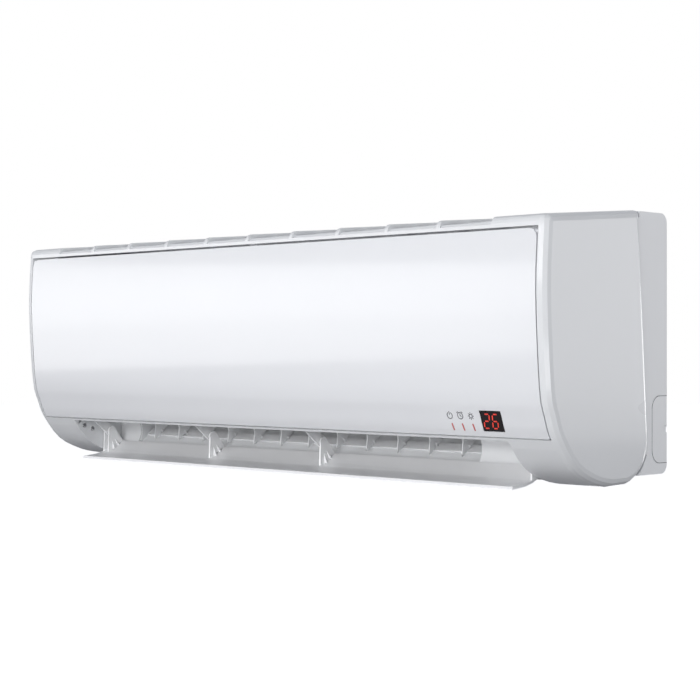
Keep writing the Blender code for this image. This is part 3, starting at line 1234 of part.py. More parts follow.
def build():
    for item in list(bpy.data.objects):
        bpy.data.objects.remove(item)
    pieces = [make_wall_plate(), make_rear_chassis(), make_front_casing(), make_drain_tray(),
              make_knockout("knockout_cover_left", -1), make_knockout("knockout_cover_right", 1)]
    for name, (start, end) in coil_slabs().items():
        pieces.append(make_slab(name, start, end))
    pieces += [make_coil_end(), make_end_plate("coil_end_plate_right", COIL_RIGHT - END_PLATE),
               make_motor(), make_motor_clamp(), make_bearing(), make_control_box(),
               make_control_cover(), make_control_board(), make_terminal_block(), make_sensor(),
               make_flap_motor(), make_display_board(), make_vane_strip()]
    for index, (x, z) in enumerate(cover_screw_places()):
        pieces.append(make_cover_screw(f"cover_screw_{index + 1}", x, z))
    for index, x in enumerate(BRACKETS):
        pieces.append(make_bracket(f"flap_bracket_{index + 1}", x))
    hinge, pivot = (0.0, *hinge_axis()), (0.0, FLAP_PIVOT_Y, FLAP_PIVOT_Z)
    centre = (0.0, FAN_Y, FAN_Z)
    moving = [(make_front_panel(), hinge), (make_display_lens(), hinge), (make_flap(), pivot),
              (make_fan(), centre), (make_motor_shaft(), centre), (make_bearing_stub(), centre),
              (make_button(), (BUTTON_X, WALL_Y + RECESS_DEPTH, BUTTON_Z))]
    for name, (low, high) in zip(("filter_left", "filter_right"), filter_spans()):
        foot = ((low + high) / 2, WALL_Y + RECESS_DEPTH, FILTER_LOW)
        moving.append((make_filter(name, low, high), foot))
    places = vane_places()
    for index, x in enumerate(places):
        moving.append((make_vane(f"vane_{index + 1:02d}", x), tuple(on_floor(x, 0, 0))))
    half = len(places) // 2
    moving.append((make_link("vane_link_left", places[:half]),
                   tuple(on_floor(places[0], VANE_ARM, VANE_HIGH))))
    moving.append((make_link("vane_link_right", places[half:]),
                   tuple(on_floor(places[half], VANE_ARM, VANE_HIGH))))

    datum = bpy.data.objects.new("wall_datum", None)
    bpy.context.collection.objects.link(datum)
    datum.location = (0.0, 0.0, -PLATE_HEIGHT)
    for piece, pivot in moving:
        piece.data.transform(Matrix.Translation(-Vector(pivot)))
        piece.location = pivot
        pieces.append(piece)
    for piece in pieces:
        piece.parent = datum
    bpy.context.view_layer.update()


build()
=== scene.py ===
import json
import math

import bmesh
import bpy
import numpy as np
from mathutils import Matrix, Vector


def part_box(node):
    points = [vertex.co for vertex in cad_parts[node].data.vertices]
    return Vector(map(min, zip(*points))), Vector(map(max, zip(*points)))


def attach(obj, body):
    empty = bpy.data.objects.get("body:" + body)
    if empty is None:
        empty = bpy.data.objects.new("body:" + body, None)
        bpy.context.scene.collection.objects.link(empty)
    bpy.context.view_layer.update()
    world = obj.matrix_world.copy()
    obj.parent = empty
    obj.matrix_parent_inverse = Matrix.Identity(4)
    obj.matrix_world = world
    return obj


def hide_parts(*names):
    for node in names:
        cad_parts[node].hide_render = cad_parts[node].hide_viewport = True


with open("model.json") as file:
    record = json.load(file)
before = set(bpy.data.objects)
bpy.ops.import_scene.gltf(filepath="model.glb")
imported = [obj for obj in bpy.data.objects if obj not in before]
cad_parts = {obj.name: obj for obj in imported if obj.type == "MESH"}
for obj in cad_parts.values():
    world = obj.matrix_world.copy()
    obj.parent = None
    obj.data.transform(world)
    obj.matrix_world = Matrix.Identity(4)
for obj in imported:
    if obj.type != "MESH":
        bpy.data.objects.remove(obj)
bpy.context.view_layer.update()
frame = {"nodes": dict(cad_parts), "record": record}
nodes = frame["nodes"]
print("frame loaded:", len(nodes), "nodes")


# camera: the photograph's long lens, level, about 44 degrees round to the right
camera = {
    "place": (1.408, -1.473, -0.039),
    "turn": 44.46,        # degrees
    "lens": 86.0,         # mm
    "sensor": 36.0,       # mm
    "shiftUp": 0.0016,
}


def makeCamera():
    data = bpy.data.cameras.new("viewer")
    data.sensor_width = camera["sensor"]
    data.lens = camera["lens"]
    data.shift_y = camera["shiftUp"]
    viewer = bpy.data.objects.new("viewer", data)
    bpy.context.scene.collection.objects.link(viewer)
    viewer.location = camera["place"]
    viewer.rotation_euler = (math.radians(90), 0, math.radians(camera["turn"]))
    bpy.context.scene.camera = viewer


makeCamera()


# small helpers for node trees
def link(tree, source, target):
    tree.links.new(source, target)


def addNode(tree, kind, **values):
    made = tree.nodes.new(kind)
    for name, value in values.items():
        setattr(made, name, value)
    return made


# a group's sockets, each with its kind and, for an input, its usual value
def addSockets(group, inputs, outputs):
    kinds = {"number": "NodeSocketFloat", "colour": "NodeSocketColor"}
    for name, kind, value in inputs:
        socket = group.interface.new_socket(name=name, in_out="INPUT", socket_type=kinds[kind])
        if value is not None:
            socket.default_value = value
    for name, kind in outputs:
        group.interface.new_socket(name=name, in_out="OUTPUT", socket_type=kinds[kind])


# fine grain for the relief, and a broad drift that is centred before it moves the roughness
grain = {"fineDetail": 2.0, "broadScale": 6.0, "middle": 0.5}


# one group for the fine grain of moulded plastic: it moves roughness and height a little
def makeGrainGroup():
    group = bpy.data.node_groups.new("mouldedGrain", "ShaderNodeTree")
    addSockets(group, [("Size", "number", 400.0), ("Roughness", "number", 0.3), ("Spread", "number", 0.04)],
               [("Roughness", "number"), ("Height", "number")])
    start = addNode(group, "NodeGroupInput")
    end = addNode(group, "NodeGroupOutput")
    place = addNode(group, "ShaderNodeTexCoord")
    fine = addNode(group, "ShaderNodeTexNoise")
    fine.inputs["Detail"].default_value = grain["fineDetail"]
    link(group, place.outputs["Object"], fine.inputs["Vector"])
    link(group, start.outputs["Size"], fine.inputs["Scale"])
    broad = addNode(group, "ShaderNodeTexNoise")
    broad.inputs["Scale"].default_value = grain["broadScale"]
    link(group, place.outputs["Object"], broad.inputs["Vector"])
    centred = addNode(group, "ShaderNodeMath", operation="SUBTRACT")
    centred.inputs[1].default_value = grain["middle"]
    link(group, broad.outputs["Fac"], centred.inputs[0])
    scaled = addNode(group, "ShaderNodeMath", operation="MULTIPLY")
    link(group, centred.outputs[0], scaled.inputs[0])
    link(group, start.outputs["Spread"], scaled.inputs[1])
    total = addNode(group, "ShaderNodeMath", operation="ADD")
    link(group, scaled.outputs[0], total.inputs[0])
    link(group, start.outputs["Roughness"], total.inputs[1])
    link(group, total.outputs[0], end.inputs["Roughness"])
    link(group, fine.outputs["Fac"], end.inputs["Height"])
    return group


# clouds per metre, and how many finer layers they have
tones = {"cloudDetail": 3.0, "cloudSize": 9.0}


# one group for the slight cloudiness of a real surface: it mixes two near tones
def makeToneGroup():
    group = bpy.data.node_groups.new("nearTones", "ShaderNodeTree")
    addSockets(group, [("Main", "colour", None), ("Other", "colour", None),
                       ("Size", "number", tones["cloudSize"])],
               [("Color", "colour")])
    start = addNode(group, "NodeGroupInput")
    end = addNode(group, "NodeGroupOutput")
    place = addNode(group, "ShaderNodeTexCoord")
    cloud = addNode(group, "ShaderNodeTexNoise")
    cloud.inputs["Detail"].default_value = tones["cloudDetail"]
    link(group, place.outputs["Object"], cloud.inputs["Vector"])
    link(group, start.outputs["Size"], cloud.inputs["Scale"])
    blend = addNode(group, "ShaderNodeMix", data_type="RGBA")
    link(group, cloud.outputs["Fac"], blend.inputs["Factor"])
    link(group, start.outputs["Main"], blend.inputs["A"])
    link(group, start.outputs["Other"], blend.inputs["B"])
    link(group, blend.outputs["Result"], end.inputs["Color"])
    return group


# one group for fine even lines, as fins and nets have: lines across X, and with Cross at 1 also along Z; the
# Other tone between the lines is painted shade of the gaps between fins and strands
def makeLineGroup():
    group = bpy.data.node_groups.new("linesOverPaintedShade", "ShaderNodeTree")
    addSockets(group, [("Main", "colour", None), ("Other", "colour", None), ("Scale", "number", 140.0),
                       ("Cross", "number", 0.0)],
               [("Color", "colour"), ("Height", "number")])
    start = addNode(group, "NodeGroupInput")
    end = addNode(group, "NodeGroupOutput")
    place = addNode(group, "ShaderNodeTexCoord")
    across = addNode(group, "ShaderNodeTexWave", bands_direction="X")
    along = addNode(group, "ShaderNodeTexWave", bands_direction="Z")
    for wave in (across, along):
        link(group, place.outputs["Object"], wave.inputs["Vector"])
        link(group, start.outputs["Scale"], wave.inputs["Scale"])
    share = addNode(group, "ShaderNodeMath", operation="MULTIPLY")
    link(group, along.outputs["Fac"], share.inputs[0])
    link(group, start.outputs["Cross"], share.inputs[1])
    both = addNode(group, "ShaderNodeMath", operation="MAXIMUM")
    link(group, across.outputs["Fac"], both.inputs[0])
    link(group, share.outputs[0], both.inputs[1])
    blend = addNode(group, "ShaderNodeMix", data_type="RGBA")
    link(group, both.outputs[0], blend.inputs["Factor"])
    link(group, start.outputs["Other"], blend.inputs["A"])
    link(group, start.outputs["Main"], blend.inputs["B"])
    link(group, blend.outputs["Result"], end.inputs["Color"])
    link(group, both.outputs[0], end.inputs["Height"])
    return group


grainGroup = makeGrainGroup()
toneGroup = makeToneGroup()
lineGroup = makeLineGroup()

# plastics: two near tones, roughness and how far it wanders, grain size and depth, and a clear coat
finishes = {
    "panelGloss": dict(main=(0.83, 0.84, 0.86), other=(0.81, 0.82, 0.845), roughness=0.24, spread=0.03,
                       size=900.0, bump=0.01, coat=0.6),
    "casingGloss": dict(main=(0.80, 0.812, 0.825), other=(0.775, 0.788, 0.803), roughness=0.28, spread=0.05,
                        size=700.0, bump=0.02, coat=0.4),
    # the flap's white is set lighter than the casing's: painted light for the flap's inner face, which the
    # lamps light too little
    "flapGlossPaintedLight": dict(main=(0.95, 0.953, 0.96), other=(0.93, 0.934, 0.945), roughness=0.30, spread=0.04,
                      size=700.0, bump=0.02, coat=0.1),
    # the inner plastic of duct and vanes: a pale tone of its own, set lighter still as painted light for the
    # shaded duct
    "innerSatinPaintedLight": dict(main=(0.91, 0.915, 0.925), other=(0.88, 0.887, 0.90), roughness=0.42, spread=0.08,
                       size=500.0, bump=0.05),
    "chassisSatin": dict(main=(0.87, 0.88, 0.89), other=(0.845, 0.855, 0.87), roughness=0.36, spread=0.06,
                         size=500.0, bump=0.04),
    "fanBlack": dict(main=(0.035, 0.036, 0.04), other=(0.05, 0.05, 0.055), roughness=0.45, spread=0.1,
                     size=500.0, bump=0.06),
    "boardGreen": dict(main=(0.02, 0.13, 0.05), other=(0.03, 0.17, 0.07), roughness=0.35, spread=0.1,
                       size=300.0, bump=0.05, coat=0.3),
    "softRubber": dict(main=(0.02, 0.02, 0.021), other=(0.03, 0.03, 0.03), roughness=0.7, spread=0.1,
                       size=500.0, bump=0.1),
    # a dark tone for seams, the slot and screw crosses: painted shade of gaps and recesses
    "paintedSeamShade": dict(main=(0.16, 0.165, 0.175), other=(0.20, 0.205, 0.215), roughness=0.6, spread=0.05,
                      size=900.0, bump=0.02),
    "printGrey": dict(main=(0.06, 0.062, 0.07), other=(0.09, 0.092, 0.10), roughness=0.5, spread=0.05,
                      size=900.0, bump=0.02),
    "printRed": dict(main=(0.55, 0.10, 0.09), other=(0.62, 0.15, 0.13), roughness=0.45, spread=0.05,
                     size=900.0, bump=0.02),
}
# metals: the same, with a cloud size of their own
metals = {
    "zincSheet": dict(main=(0.52, 0.53, 0.55), other=(0.40, 0.41, 0.43), roughness=0.38, cloud=45.0,
                      size=900.0),
    "brightSteel": dict(main=(0.62, 0.62, 0.63), other=(0.56, 0.56, 0.57), roughness=0.22, cloud=60.0,
                        size=1200.0),
}
# fins and nets: the lines' tone, the tone between them, which is painted shade of the gaps and holes, and their
# pitch and depth in metres
linedWithPaintedShade = {
    "filterNet": dict(main=(0.55, 0.57, 0.60), other=(0.18, 0.19, 0.21), roughness=0.6, spread=0.1,
                      pitch=0.0020, cross=1.0, depth=0.0003, metallic=0.0),
    "finAluminium": dict(main=(0.74, 0.76, 0.78), other=(0.22, 0.23, 0.25), roughness=0.34, spread=0.12,
                         pitch=0.0016, cross=0.0, depth=0.0004, metallic=1.0),
}
surface = {
    "coatRoughness": 0.08, "grainDepth": 0.0002, "ridge": 0.6, "metalSpread": 0.12, "metalBump": 0.04,
    "waveTurn": math.pi / 10,        # metres between the lines of a wave of scale 1
}


# what every finish shares: a material whose group gives the colour, grain that moves the roughness, and relief
def startFinish(name, colours, main, other, roughness, spread):
    made = bpy.data.materials.new(name)
    made.use_nodes = True
    tree = made.node_tree
    shader = tree.nodes["Principled BSDF"]
    shader.inputs["Coat Roughness"].default_value = surface["coatRoughness"]
    pattern = addNode(tree, "ShaderNodeGroup", node_tree=colours)
    pattern.inputs["Main"].default_value = (*main, 1)
    pattern.inputs["Other"].default_value = (*other, 1)
    link(tree, pattern.outputs["Color"], shader.inputs["Base Color"])
    moulded = addNode(tree, "ShaderNodeGroup", node_tree=grainGroup)
    moulded.inputs["Roughness"].default_value = roughness
    moulded.inputs["Spread"].default_value = spread
    link(tree, moulded.outputs["Roughness"], shader.inputs["Roughness"])
    relief = addNode(tree, "ShaderNodeBump")
    link(tree, relief.outputs["Normal"], shader.inputs["Normal"])
    return made, shader, pattern, moulded, relief


# a plastic or metal: its colour drifts between the two tones, and fine grain gives the relief
def makeCloudy(name, main, other, roughness, spread, size, bump, coat=0.0, metallic=0.0,
               cloud=tones["cloudSize"]):
    made, shader, pattern, moulded, relief = startFinish(name, toneGroup, main, other, roughness, spread)
    shader.inputs["Coat Weight"].default_value = coat
    shader.inputs["Metallic"].default_value = metallic
    pattern.inputs["Size"].default_value = cloud
    moulded.inputs["Size"].default_value = size
    relief.inputs["Strength"].default_value = bump
    relief.inputs["Distance"].default_value = surface["grainDepth"]
    link(made.node_tree, moulded.outputs["Height"], relief.inputs["Height"])
    return made


# a net or fin stack: the lines give both the colour, with painted shade between them, and the relief
def makeLined(name, main, other, roughness, spread, pitch, cross, depth, metallic):
    made, shader, pattern, _, relief = startFinish(name, lineGroup, main, other, roughness, spread)
    shader.inputs["Metallic"].default_value = metallic
    pattern.inputs["Scale"].default_value = surface["waveTurn"] / pitch
    pattern.inputs["Cross"].default_value = cross
    relief.inputs["Strength"].default_value = surface["ridge"]
    relief.inputs["Distance"].default_value = depth
    link(made.node_tree, pattern.outputs["Height"], relief.inputs["Height"])
    return made


materials = {name: makeCloudy(name, **values) for name, values in finishes.items()}
for name, values in metals.items():
    materials[name] = makeCloudy(name, spread=surface["metalSpread"], bump=surface["metalBump"], metallic=1.0,
                                 **values)
for name, values in linedWithPaintedShade.items():
    materials[name] = makeLined(name, **values)

window = {
    "smoke": (0.012, 0.008, 0.009), "roughness": 0.06, "coat": 0.6,
    "light": (0.62, 0.05, 0.035), "strength": 0.55,
}


def makeLensMaterial():
    made = bpy.data.materials.new("smokedWindow")
    made.use_nodes = True
    shader = made.node_tree.nodes["Principled BSDF"]
    shader.inputs["Base Color"].default_value = (*window["smoke"], 1)
    shader.inputs["Roughness"].default_value = window["roughness"]
    shader.inputs["Coat Weight"].default_value = window["coat"]
    return made


def makeGlowMaterial():
    made = bpy.data.materials.new("redLight")
    made.use_nodes = True
    shader = made.node_tree.nodes["Principled BSDF"]
    shader.inputs["Base Color"].default_value = (*window["light"], 1)
    shader.inputs["Emission Color"].default_value = (*window["light"], 1)
    shader.inputs["Emission Strength"].default_value = window["strength"]
    return made


materials["smokedWindow"] = makeLensMaterial()
materials["redLight"] = makeGlowMaterial()
print("materials made:", len(materials))

slotFinish = {
    "casing_white": "casingGloss", "panel_white": "panelGloss", "inner_plastic": "innerSatinPaintedLight",
    "dark_plastic": "fanBlack", "display_black": "smokedWindow", "galvanised_steel": "zincSheet",
    "fin_aluminium": "finAluminium", "bright_steel": "brightSteel", "circuit_board": "boardGreen",
    "black_rubber": "softRubber", "filter_net": "filterNet",
}
nodeFinish = {"rear_chassis": "chassisSatin", "air_flap": "flapGlossPaintedLight",
              "knockout_cover_left": "chassisSatin", "knockout_cover_right": "chassisSatin"}
slotOf = {part["node"]: part["material_slot"] for part in frame["record"]["subparts"]}


def finishOf(name):
    return materials[nodeFinish.get(name, slotFinish[slotOf[name]])]


def bodyOf(name):
    bodies = frame["record"]["behaviour"]["bodies"]
    return next(body for body, members in bodies.items() if name in members)


# how each node is finished, angles in degrees and lengths in metres: faces flatter than "flat" are joined,
# edges sharper than "sharp" stay crisp, and those sharper than "corner" are rounded where "rounding" says so
twins = {
    "flat": 0.3, "sharp": 30.0, "crisp": {"front_casing": 18.0}, "corner": 40.0, "steps": 2, "weld": 0.000004,
    "rounding": {"front_panel": 0.0009, "front_casing": 0.0005, "air_flap": 0.0005, "rear_chassis": 0.0006},
}


# a merged copy of a node: its flat faces joined again, round faces shaded evenly, outer edges rounded a little
def smoothTwin(name):
    shape = bmesh.new()
    shape.from_mesh(nodes[name].data)
    bmesh.ops.remove_doubles(shape, verts=shape.verts, dist=twins["weld"])
    bmesh.ops.dissolve_limit(shape, angle_limit=math.radians(twins["flat"]),
                             verts=shape.verts, edges=shape.edges)
    data = bpy.data.meshes.new(name + ".finish")
    shape.to_mesh(data)
    shape.free()
    data.shade_smooth()
    data.set_sharp_from_angle(angle=math.radians(twins["crisp"].get(name, twins["sharp"])))
    twin = bpy.data.objects.new(name + ".finish", data)
    bpy.context.scene.collection.objects.link(twin)
    data.materials.append(finishOf(name))
    if name in twins["rounding"]:
        edge = twin.modifiers.new("roundedEdge", "BEVEL")
        edge.width = twins["rounding"][name]
        edge.segments = twins["steps"]
        edge.limit_method = "ANGLE"
        edge.angle_limit = math.radians(twins["corner"])
    even = twin.modifiers.new("evenShading", "WEIGHTED_NORMAL")
    even.mode = "FACE_AREA"
    even.keep_sharp = True
    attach(twin, bodyOf(name))
    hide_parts(name)


for name, node in nodes.items():
    node.data.materials.clear()
    node.data.materials.append(finishOf(name))
for name in nodes:
    smoothTwin(name)
print("nodes finished")


# the panel's profile: setback from the foremost line at each height above the casing's lowest line
panel = {
    "knots": [(0.2555, 0.0030), (0.192, 0.0), (0.100, 0.0058), (0.072, 0.0136), (0.0495, 0.0238),
              (0.0205, 0.0490)],
    "foremost": -0.208, "lowest": -0.175, "samples": 40, "step": 0.0005,
}


# setback and its slope at any height: the Catmull-Rom curve through the knots, sampled finely and interpolated,
# and the slope is the difference between two heights a step above and below
def panelSetback(height):
    knots = np.array([panel["knots"][0], *panel["knots"], panel["knots"][-1]])
    t = np.linspace(0, 1, panel["samples"])[:, None]
    parts = [0.5 * (2 * b + (c - a) * t + (2 * a - 5 * b + 4 * c - d) * t ** 2
                    + (3 * b - a - 3 * c + d) * t ** 3)
             for a, b, c, d in zip(knots, knots[1:], knots[2:], knots[3:])]
    line = np.concatenate(parts)[::-1]
    step = panel["step"]
    below, middle, above = (np.interp(height + way, line[:, 0], line[:, 1]) for way in (-step, 0, step))
    return middle, (above - below) / (2 * step)


# a point on the panel's face: x across, height above the casing's lowest line, and lift outwards along the
# face's normal, which is the slope's line turned by a right angle and scaled to length one
def onPanel(x, height, lift):
    setback, slope = panelSetback(height)
    length = np.sqrt(1 + slope ** 2)
    return np.stack([x, panel["foremost"] + setback - lift / length,
                     height + panel["lowest"] + lift * slope / length], axis=-1)


pieces = {"sharp": 35.0}             # degrees, for the edges of new pieces


# a piece from its corners' places and its faces; a face that names a corner twice becomes a triangle
def meshPiece(name, places, faces, material, body):
    shape = bmesh.new()
    corners = [shape.verts.new(place) for place in places.reshape(-1, 3).tolist()]
    for face in faces.tolist():
        shape.faces.new([corners[index] for index in dict.fromkeys(face)])
    bmesh.ops.recalc_face_normals(shape, faces=shape.faces)
    data = bpy.data.meshes.new(name)
    shape.to_mesh(data)
    shape.free()
    data.materials.append(materials[material])
    data.shade_smooth()
    data.set_sharp_from_angle(angle=math.radians(pieces["sharp"]))
    made = bpy.data.objects.new(name, data)
    bpy.context.scene.collection.objects.link(made)
    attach(made, body)
    return made


# faces of a grid of rows by columns, first corner at the given number
def gridFaces(rows, columns, first=0, closed=False):
    index = first + np.arange(rows * columns).reshape(rows, columns)
    if closed:
        index = np.concatenate([index, index[:, :1]], axis=1)
    corners = [index[:-1, :-1], index[:-1, 1:], index[1:, 1:], index[1:, :-1]]
    return np.stack(corners, axis=-1).reshape(-1, 4)


# a stroke on a surface: a path of (a, b) points, widened by half its width to both sides along its normal, and
# given a thickness between two lifts from the surface, so each is a closed bar; onto(a, b, lift) is its place
def strokeSection(path, width, lifts, onto):
    path = np.asarray(path, dtype=float)
    along = np.gradient(path, axis=0)
    along /= np.linalg.norm(along, axis=1)[:, None]
    side = np.stack([-along[:, 1], along[:, 0]], axis=1) * width / 2
    left, right = (path + side).T, (path - side).T
    low, high = lifts
    return np.stack([onto(*left, low), onto(*left, high), onto(*right, high), onto(*right, low)], axis=1)


# one piece of several strokes: each is a grid of sections, closed by a face at either end
def strokesPiece(name, strokes, width, lifts, material, body, onto=onPanel):
    places, faces, first = [], [], 0
    for path in strokes:
        rings = strokeSection(path, width, lifts, onto)
        last = first + 4 * len(rings)
        places.append(rings.reshape(-1, 3))
        faces.append(gridFaces(len(rings), 4, first, closed=True))
        faces.append(np.array([np.arange(first, first + 4), np.arange(last - 4, last)]))
        first = last
    meshPiece(name, np.concatenate(places), np.concatenate(faces), material, body)


# an arc of a circle as a path, angles in degrees
def circlePath(centre, radius, start, end, count):
    turn = np.radians(np.linspace(start, end, count))
    return np.stack([centre[0] + radius * np.cos(turn), centre[1] + radius * np.sin(turn)], axis=1)


# the signs in and beside the display window; lifts are from the panel's face
display = {
    "digits": "26", "firstDigit": 0.3375, "digitPitch": 0.0108, "digitSize": (0.0066, 0.0142),
    "digitFoot": 0.0594, "segment": 0.0012, "gap": 0.0012, "slant": 0.19, "digitLifts": (0.0002, 0.0005),
    "icons": (0.2944, 0.3084, 0.3222), "iconHeight": 0.0710, "iconRadius": 0.0033, "iconStroke": 0.0008,
    "powerTick": (0.20, 1.35), "clockHands": ((0.0, 0.65), (0.5, -0.2)),
    "bellReach": 1.42, "bellTurns": (50, 130), "bellHalf": 14,
    "sunDisc": 0.62, "sunRays": (0.85, 1.15), "iconLifts": (-0.0002, 0.00015),
    "bars": (0.2955, 0.3092, 0.3230), "barSpan": (0.0560, 0.0632), "barWidth": 0.0015, "barLean": 0.0004,
    "barLifts": (-0.0002, 0.0002),
}


# the seven bars of a digit, as paths in a box one wide and one high
def digitPaths(sign):
    bars = {"top": ((0, 1), (1, 1)), "middle": ((0, 0.5), (1, 0.5)), "bottom": ((0, 0), (1, 0)),
            "upLeft": ((0, 0.5), (0, 1)), "upRight": ((1, 0.5), (1, 1)),
            "lowLeft": ((0, 0), (0, 0.5)), "lowRight": ((1, 0), (1, 0.5))}
    lit = {"2": ("top", "upRight", "middle", "lowLeft", "bottom"),
           "6": ("top", "upLeft", "middle", "lowLeft", "lowRight", "bottom")}
    return [np.array(bars[bar], dtype=float) for bar in lit[sign]]


def makeDigits():
    wide, high = display["digitSize"]
    strokes = []
    for place, sign in enumerate(display["digits"]):
        left = display["firstDigit"] + place * display["digitPitch"]
        for bar in digitPaths(sign):
            ends = bar * (wide, high)
            along = (ends[1] - ends[0]) / np.linalg.norm(ends[1] - ends[0])
            ends = np.array([ends[0] + along * display["gap"], ends[1] - along * display["gap"]])
            ends[:, 0] += left + ends[:, 1] * display["slant"]
            ends[:, 1] += display["digitFoot"]
            strokes.append(np.linspace(ends[0], ends[1], 3))
    strokesPiece("display.digits", strokes, display["segment"], display["digitLifts"], "redLight", "panel")


# power sign, alarm clock and sun: arcs and short straight strokes, all in shares of the sign's radius
def makeIcons():
    height, radius = display["iconHeight"], display["iconRadius"]
    power, timer, sun = (np.array([x, height]) for x in display["icons"])
    low, high = display["powerTick"]
    strokes = [circlePath(power, radius, 120, 420, 25),
               np.linspace(power + (0, radius * low), power + (0, radius * high), 3),
               circlePath(timer, radius, 0, 360, 29),
               *(np.linspace(timer, timer + np.array(hand) * radius, 3) for hand in display["clockHands"]),
               circlePath(sun, radius * display["sunDisc"], 0, 360, 21)]
    for turn in display["bellTurns"]:
        strokes.append(circlePath(timer, radius * display["bellReach"], turn - display["bellHalf"],
                                  turn + display["bellHalf"], 5))
    for turn in range(0, 360, 45):
        way = np.array([math.cos(math.radians(turn)), math.sin(math.radians(turn))]) * radius
        start, end = display["sunRays"]
        strokes.append(np.linspace(sun + way * start, sun + way * end, 3))
    strokesPiece("display.icons", strokes, display["iconStroke"], display["iconLifts"], "printGrey", "panel")


def makeBars():
    low, high = display["barSpan"]
    lean = display["barLean"]
    strokes = [np.linspace((x + lean, low), (x - lean, high), 4) for x in display["bars"]]
    strokesPiece("display.bars", strokes, display["barWidth"], display["barLifts"], "printRed", "panel")


makeDigits()
makeIcons()
makeBars()
print("display made")


# seams round the pipe covers, the slot beside the duct, and two screws on the outlet's left wall; the seams,
# the slot and the screws' crosses are dark strokes of painted shade where the real gaps and recesses are shaded
trim = {
    "seamWidth": 0.0006, "seamCorner": 0.0135, "lifts": (-0.0003, 0.0001),
    "slotSpan": (0.283, 0.347), "slotHeight": 0.0340, "slotWidth": 0.0012,
    "pivot": (-0.1312, 0.0323), "sweep": 0.0275,
    "screws": ((-0.1660, 0.0395), (-0.1530, 0.0350)), "screwWall": -0.3570, "screwRadius": 0.0030,
    "screwRise": 0.0010, "crossWidth": 0.0006, "crossReach": 0.55,
    "screwLean": (-20, 88), "screwRings": 8, "screwTurn": 18,        # degrees from the wall, and round the axis
}


# a place on a flat wall across X, on the side with the given sign: y and z as they are, lift outwards
def onSide(side, face):
    return lambda y, z, lift: np.stack([np.full_like(y, side * (face + lift)), y, z], axis=-1)


# a seam follows a cover's outline but its rear edge: straight, a quarter circle, straight, and the same again
def makeSeam(node, side):
    low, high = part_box(node)
    corner = trim["seamCorner"]
    face = max(abs(low[0]), abs(high[0]))
    top = circlePath((low[1] + corner, high[2] - corner), corner, 90, 180, 9)
    foot = circlePath((low[1] + corner, low[2] + corner), corner, 180, 270, 9)
    path = np.concatenate([[(high[1], high[2])], top, foot, [(high[1], low[2])]])
    # the seam is a dark stroke on the wall: painted shade of the gap round the cover
    strokesPiece(node + ".seam", [path], trim["seamWidth"], trim["lifts"], "paintedSeamShade", "housing",
                 onSide(side, face))


# a point on the round cover beside the duct: x across, b along the arc from level with the flap's pivot
def onCover(x, b, lift):
    radius = trim["sweep"] - lift
    turn = b / trim["sweep"]
    y, z = trim["pivot"]
    return np.stack([x, y + radius * np.cos(turn), z + radius * np.sin(turn) + panel["lowest"]], axis=-1)


# the slot is a dark stroke on the round cover: painted shade of a slot that is not cut
def makeSlot():
    rise = trim["slotHeight"] - trim["pivot"][1]
    start, end = trim["slotSpan"]
    strokesPiece("outlet.slot", [np.linspace((start, rise), (end, rise), 5)], trim["slotWidth"], trim["lifts"],
                 "paintedSeamShade", "housing", onCover)


# fills every open ring of a piece with one face
def closeEnds(piece):
    shape = bmesh.new()
    shape.from_mesh(piece.data)
    bmesh.ops.holes_fill(shape, edges=[edge for edge in shape.edges if edge.is_boundary], sides=0)
    bmesh.ops.recalc_face_normals(shape, faces=shape.faces)
    shape.to_mesh(piece.data)
    shape.free()


# a low domed head: its profile is a quarter of an ellipse, turned about the screw's axis, which points along X
def makeScrews():
    wall, radius, rise = trim["screwWall"], trim["screwRadius"], trim["screwRise"]
    turn = np.radians(np.arange(0, 360, trim["screwTurn"]))
    lean = np.radians(np.linspace(*trim["screwLean"], trim["screwRings"]))
    around, up = np.meshgrid(turn, lean)
    out = radius * np.cos(up)
    reach = radius * trim["crossReach"]
    low, high = trim["lifts"]
    for number, (y, z) in enumerate(trim["screws"], 1):
        middle = np.array([y, z + panel["lowest"]])
        places = np.stack([wall + rise * np.sin(up), middle[0] + out * np.cos(around),
                           middle[1] + out * np.sin(around)], axis=-1)
        head = meshPiece(f"outlet.screw{number}", places, gridFaces(len(lean), len(turn), closed=True),
                         "brightSteel", "housing")
        closeEnds(head)
        arms = [np.linspace(middle - way, middle + way, 3)
                for way in (np.array([reach, 0]), np.array([0, reach]))]
        # each cross is a dark stroke on the head: painted shade of the cross recess
        strokesPiece(f"outlet.screwCross{number}", arms, trim["crossWidth"], (rise + low, rise + high),
                     "paintedSeamShade", "housing", onSide(1, wall))


makeSeam("knockout_cover_right", 1)
makeSeam("knockout_cover_left", -1)
makeSlot()
makeScrews()
print("trim made")


# room: a pale floor far below, a white backdrop for the camera and a soft grey studio for the light
studio = {
    "floorDrop": 0.62, "floorSize": 14.0, "floorRoughness": 0.8,
    "floorTone": (0.80, 0.80, 0.795), "floorBounce": (0.24, 0.24, 0.25), "floorLift": 0.65,
    "up": (0.42, 0.43, 0.46), "level": (0.90, 0.91, 0.94), "down": (0.30, 0.30, 0.31),
    "strength": 0.86,
    "downEnds": 0.25, "levelAt": 0.50, "upStarts": 0.85,        # 0 is straight down, 1 straight up
}


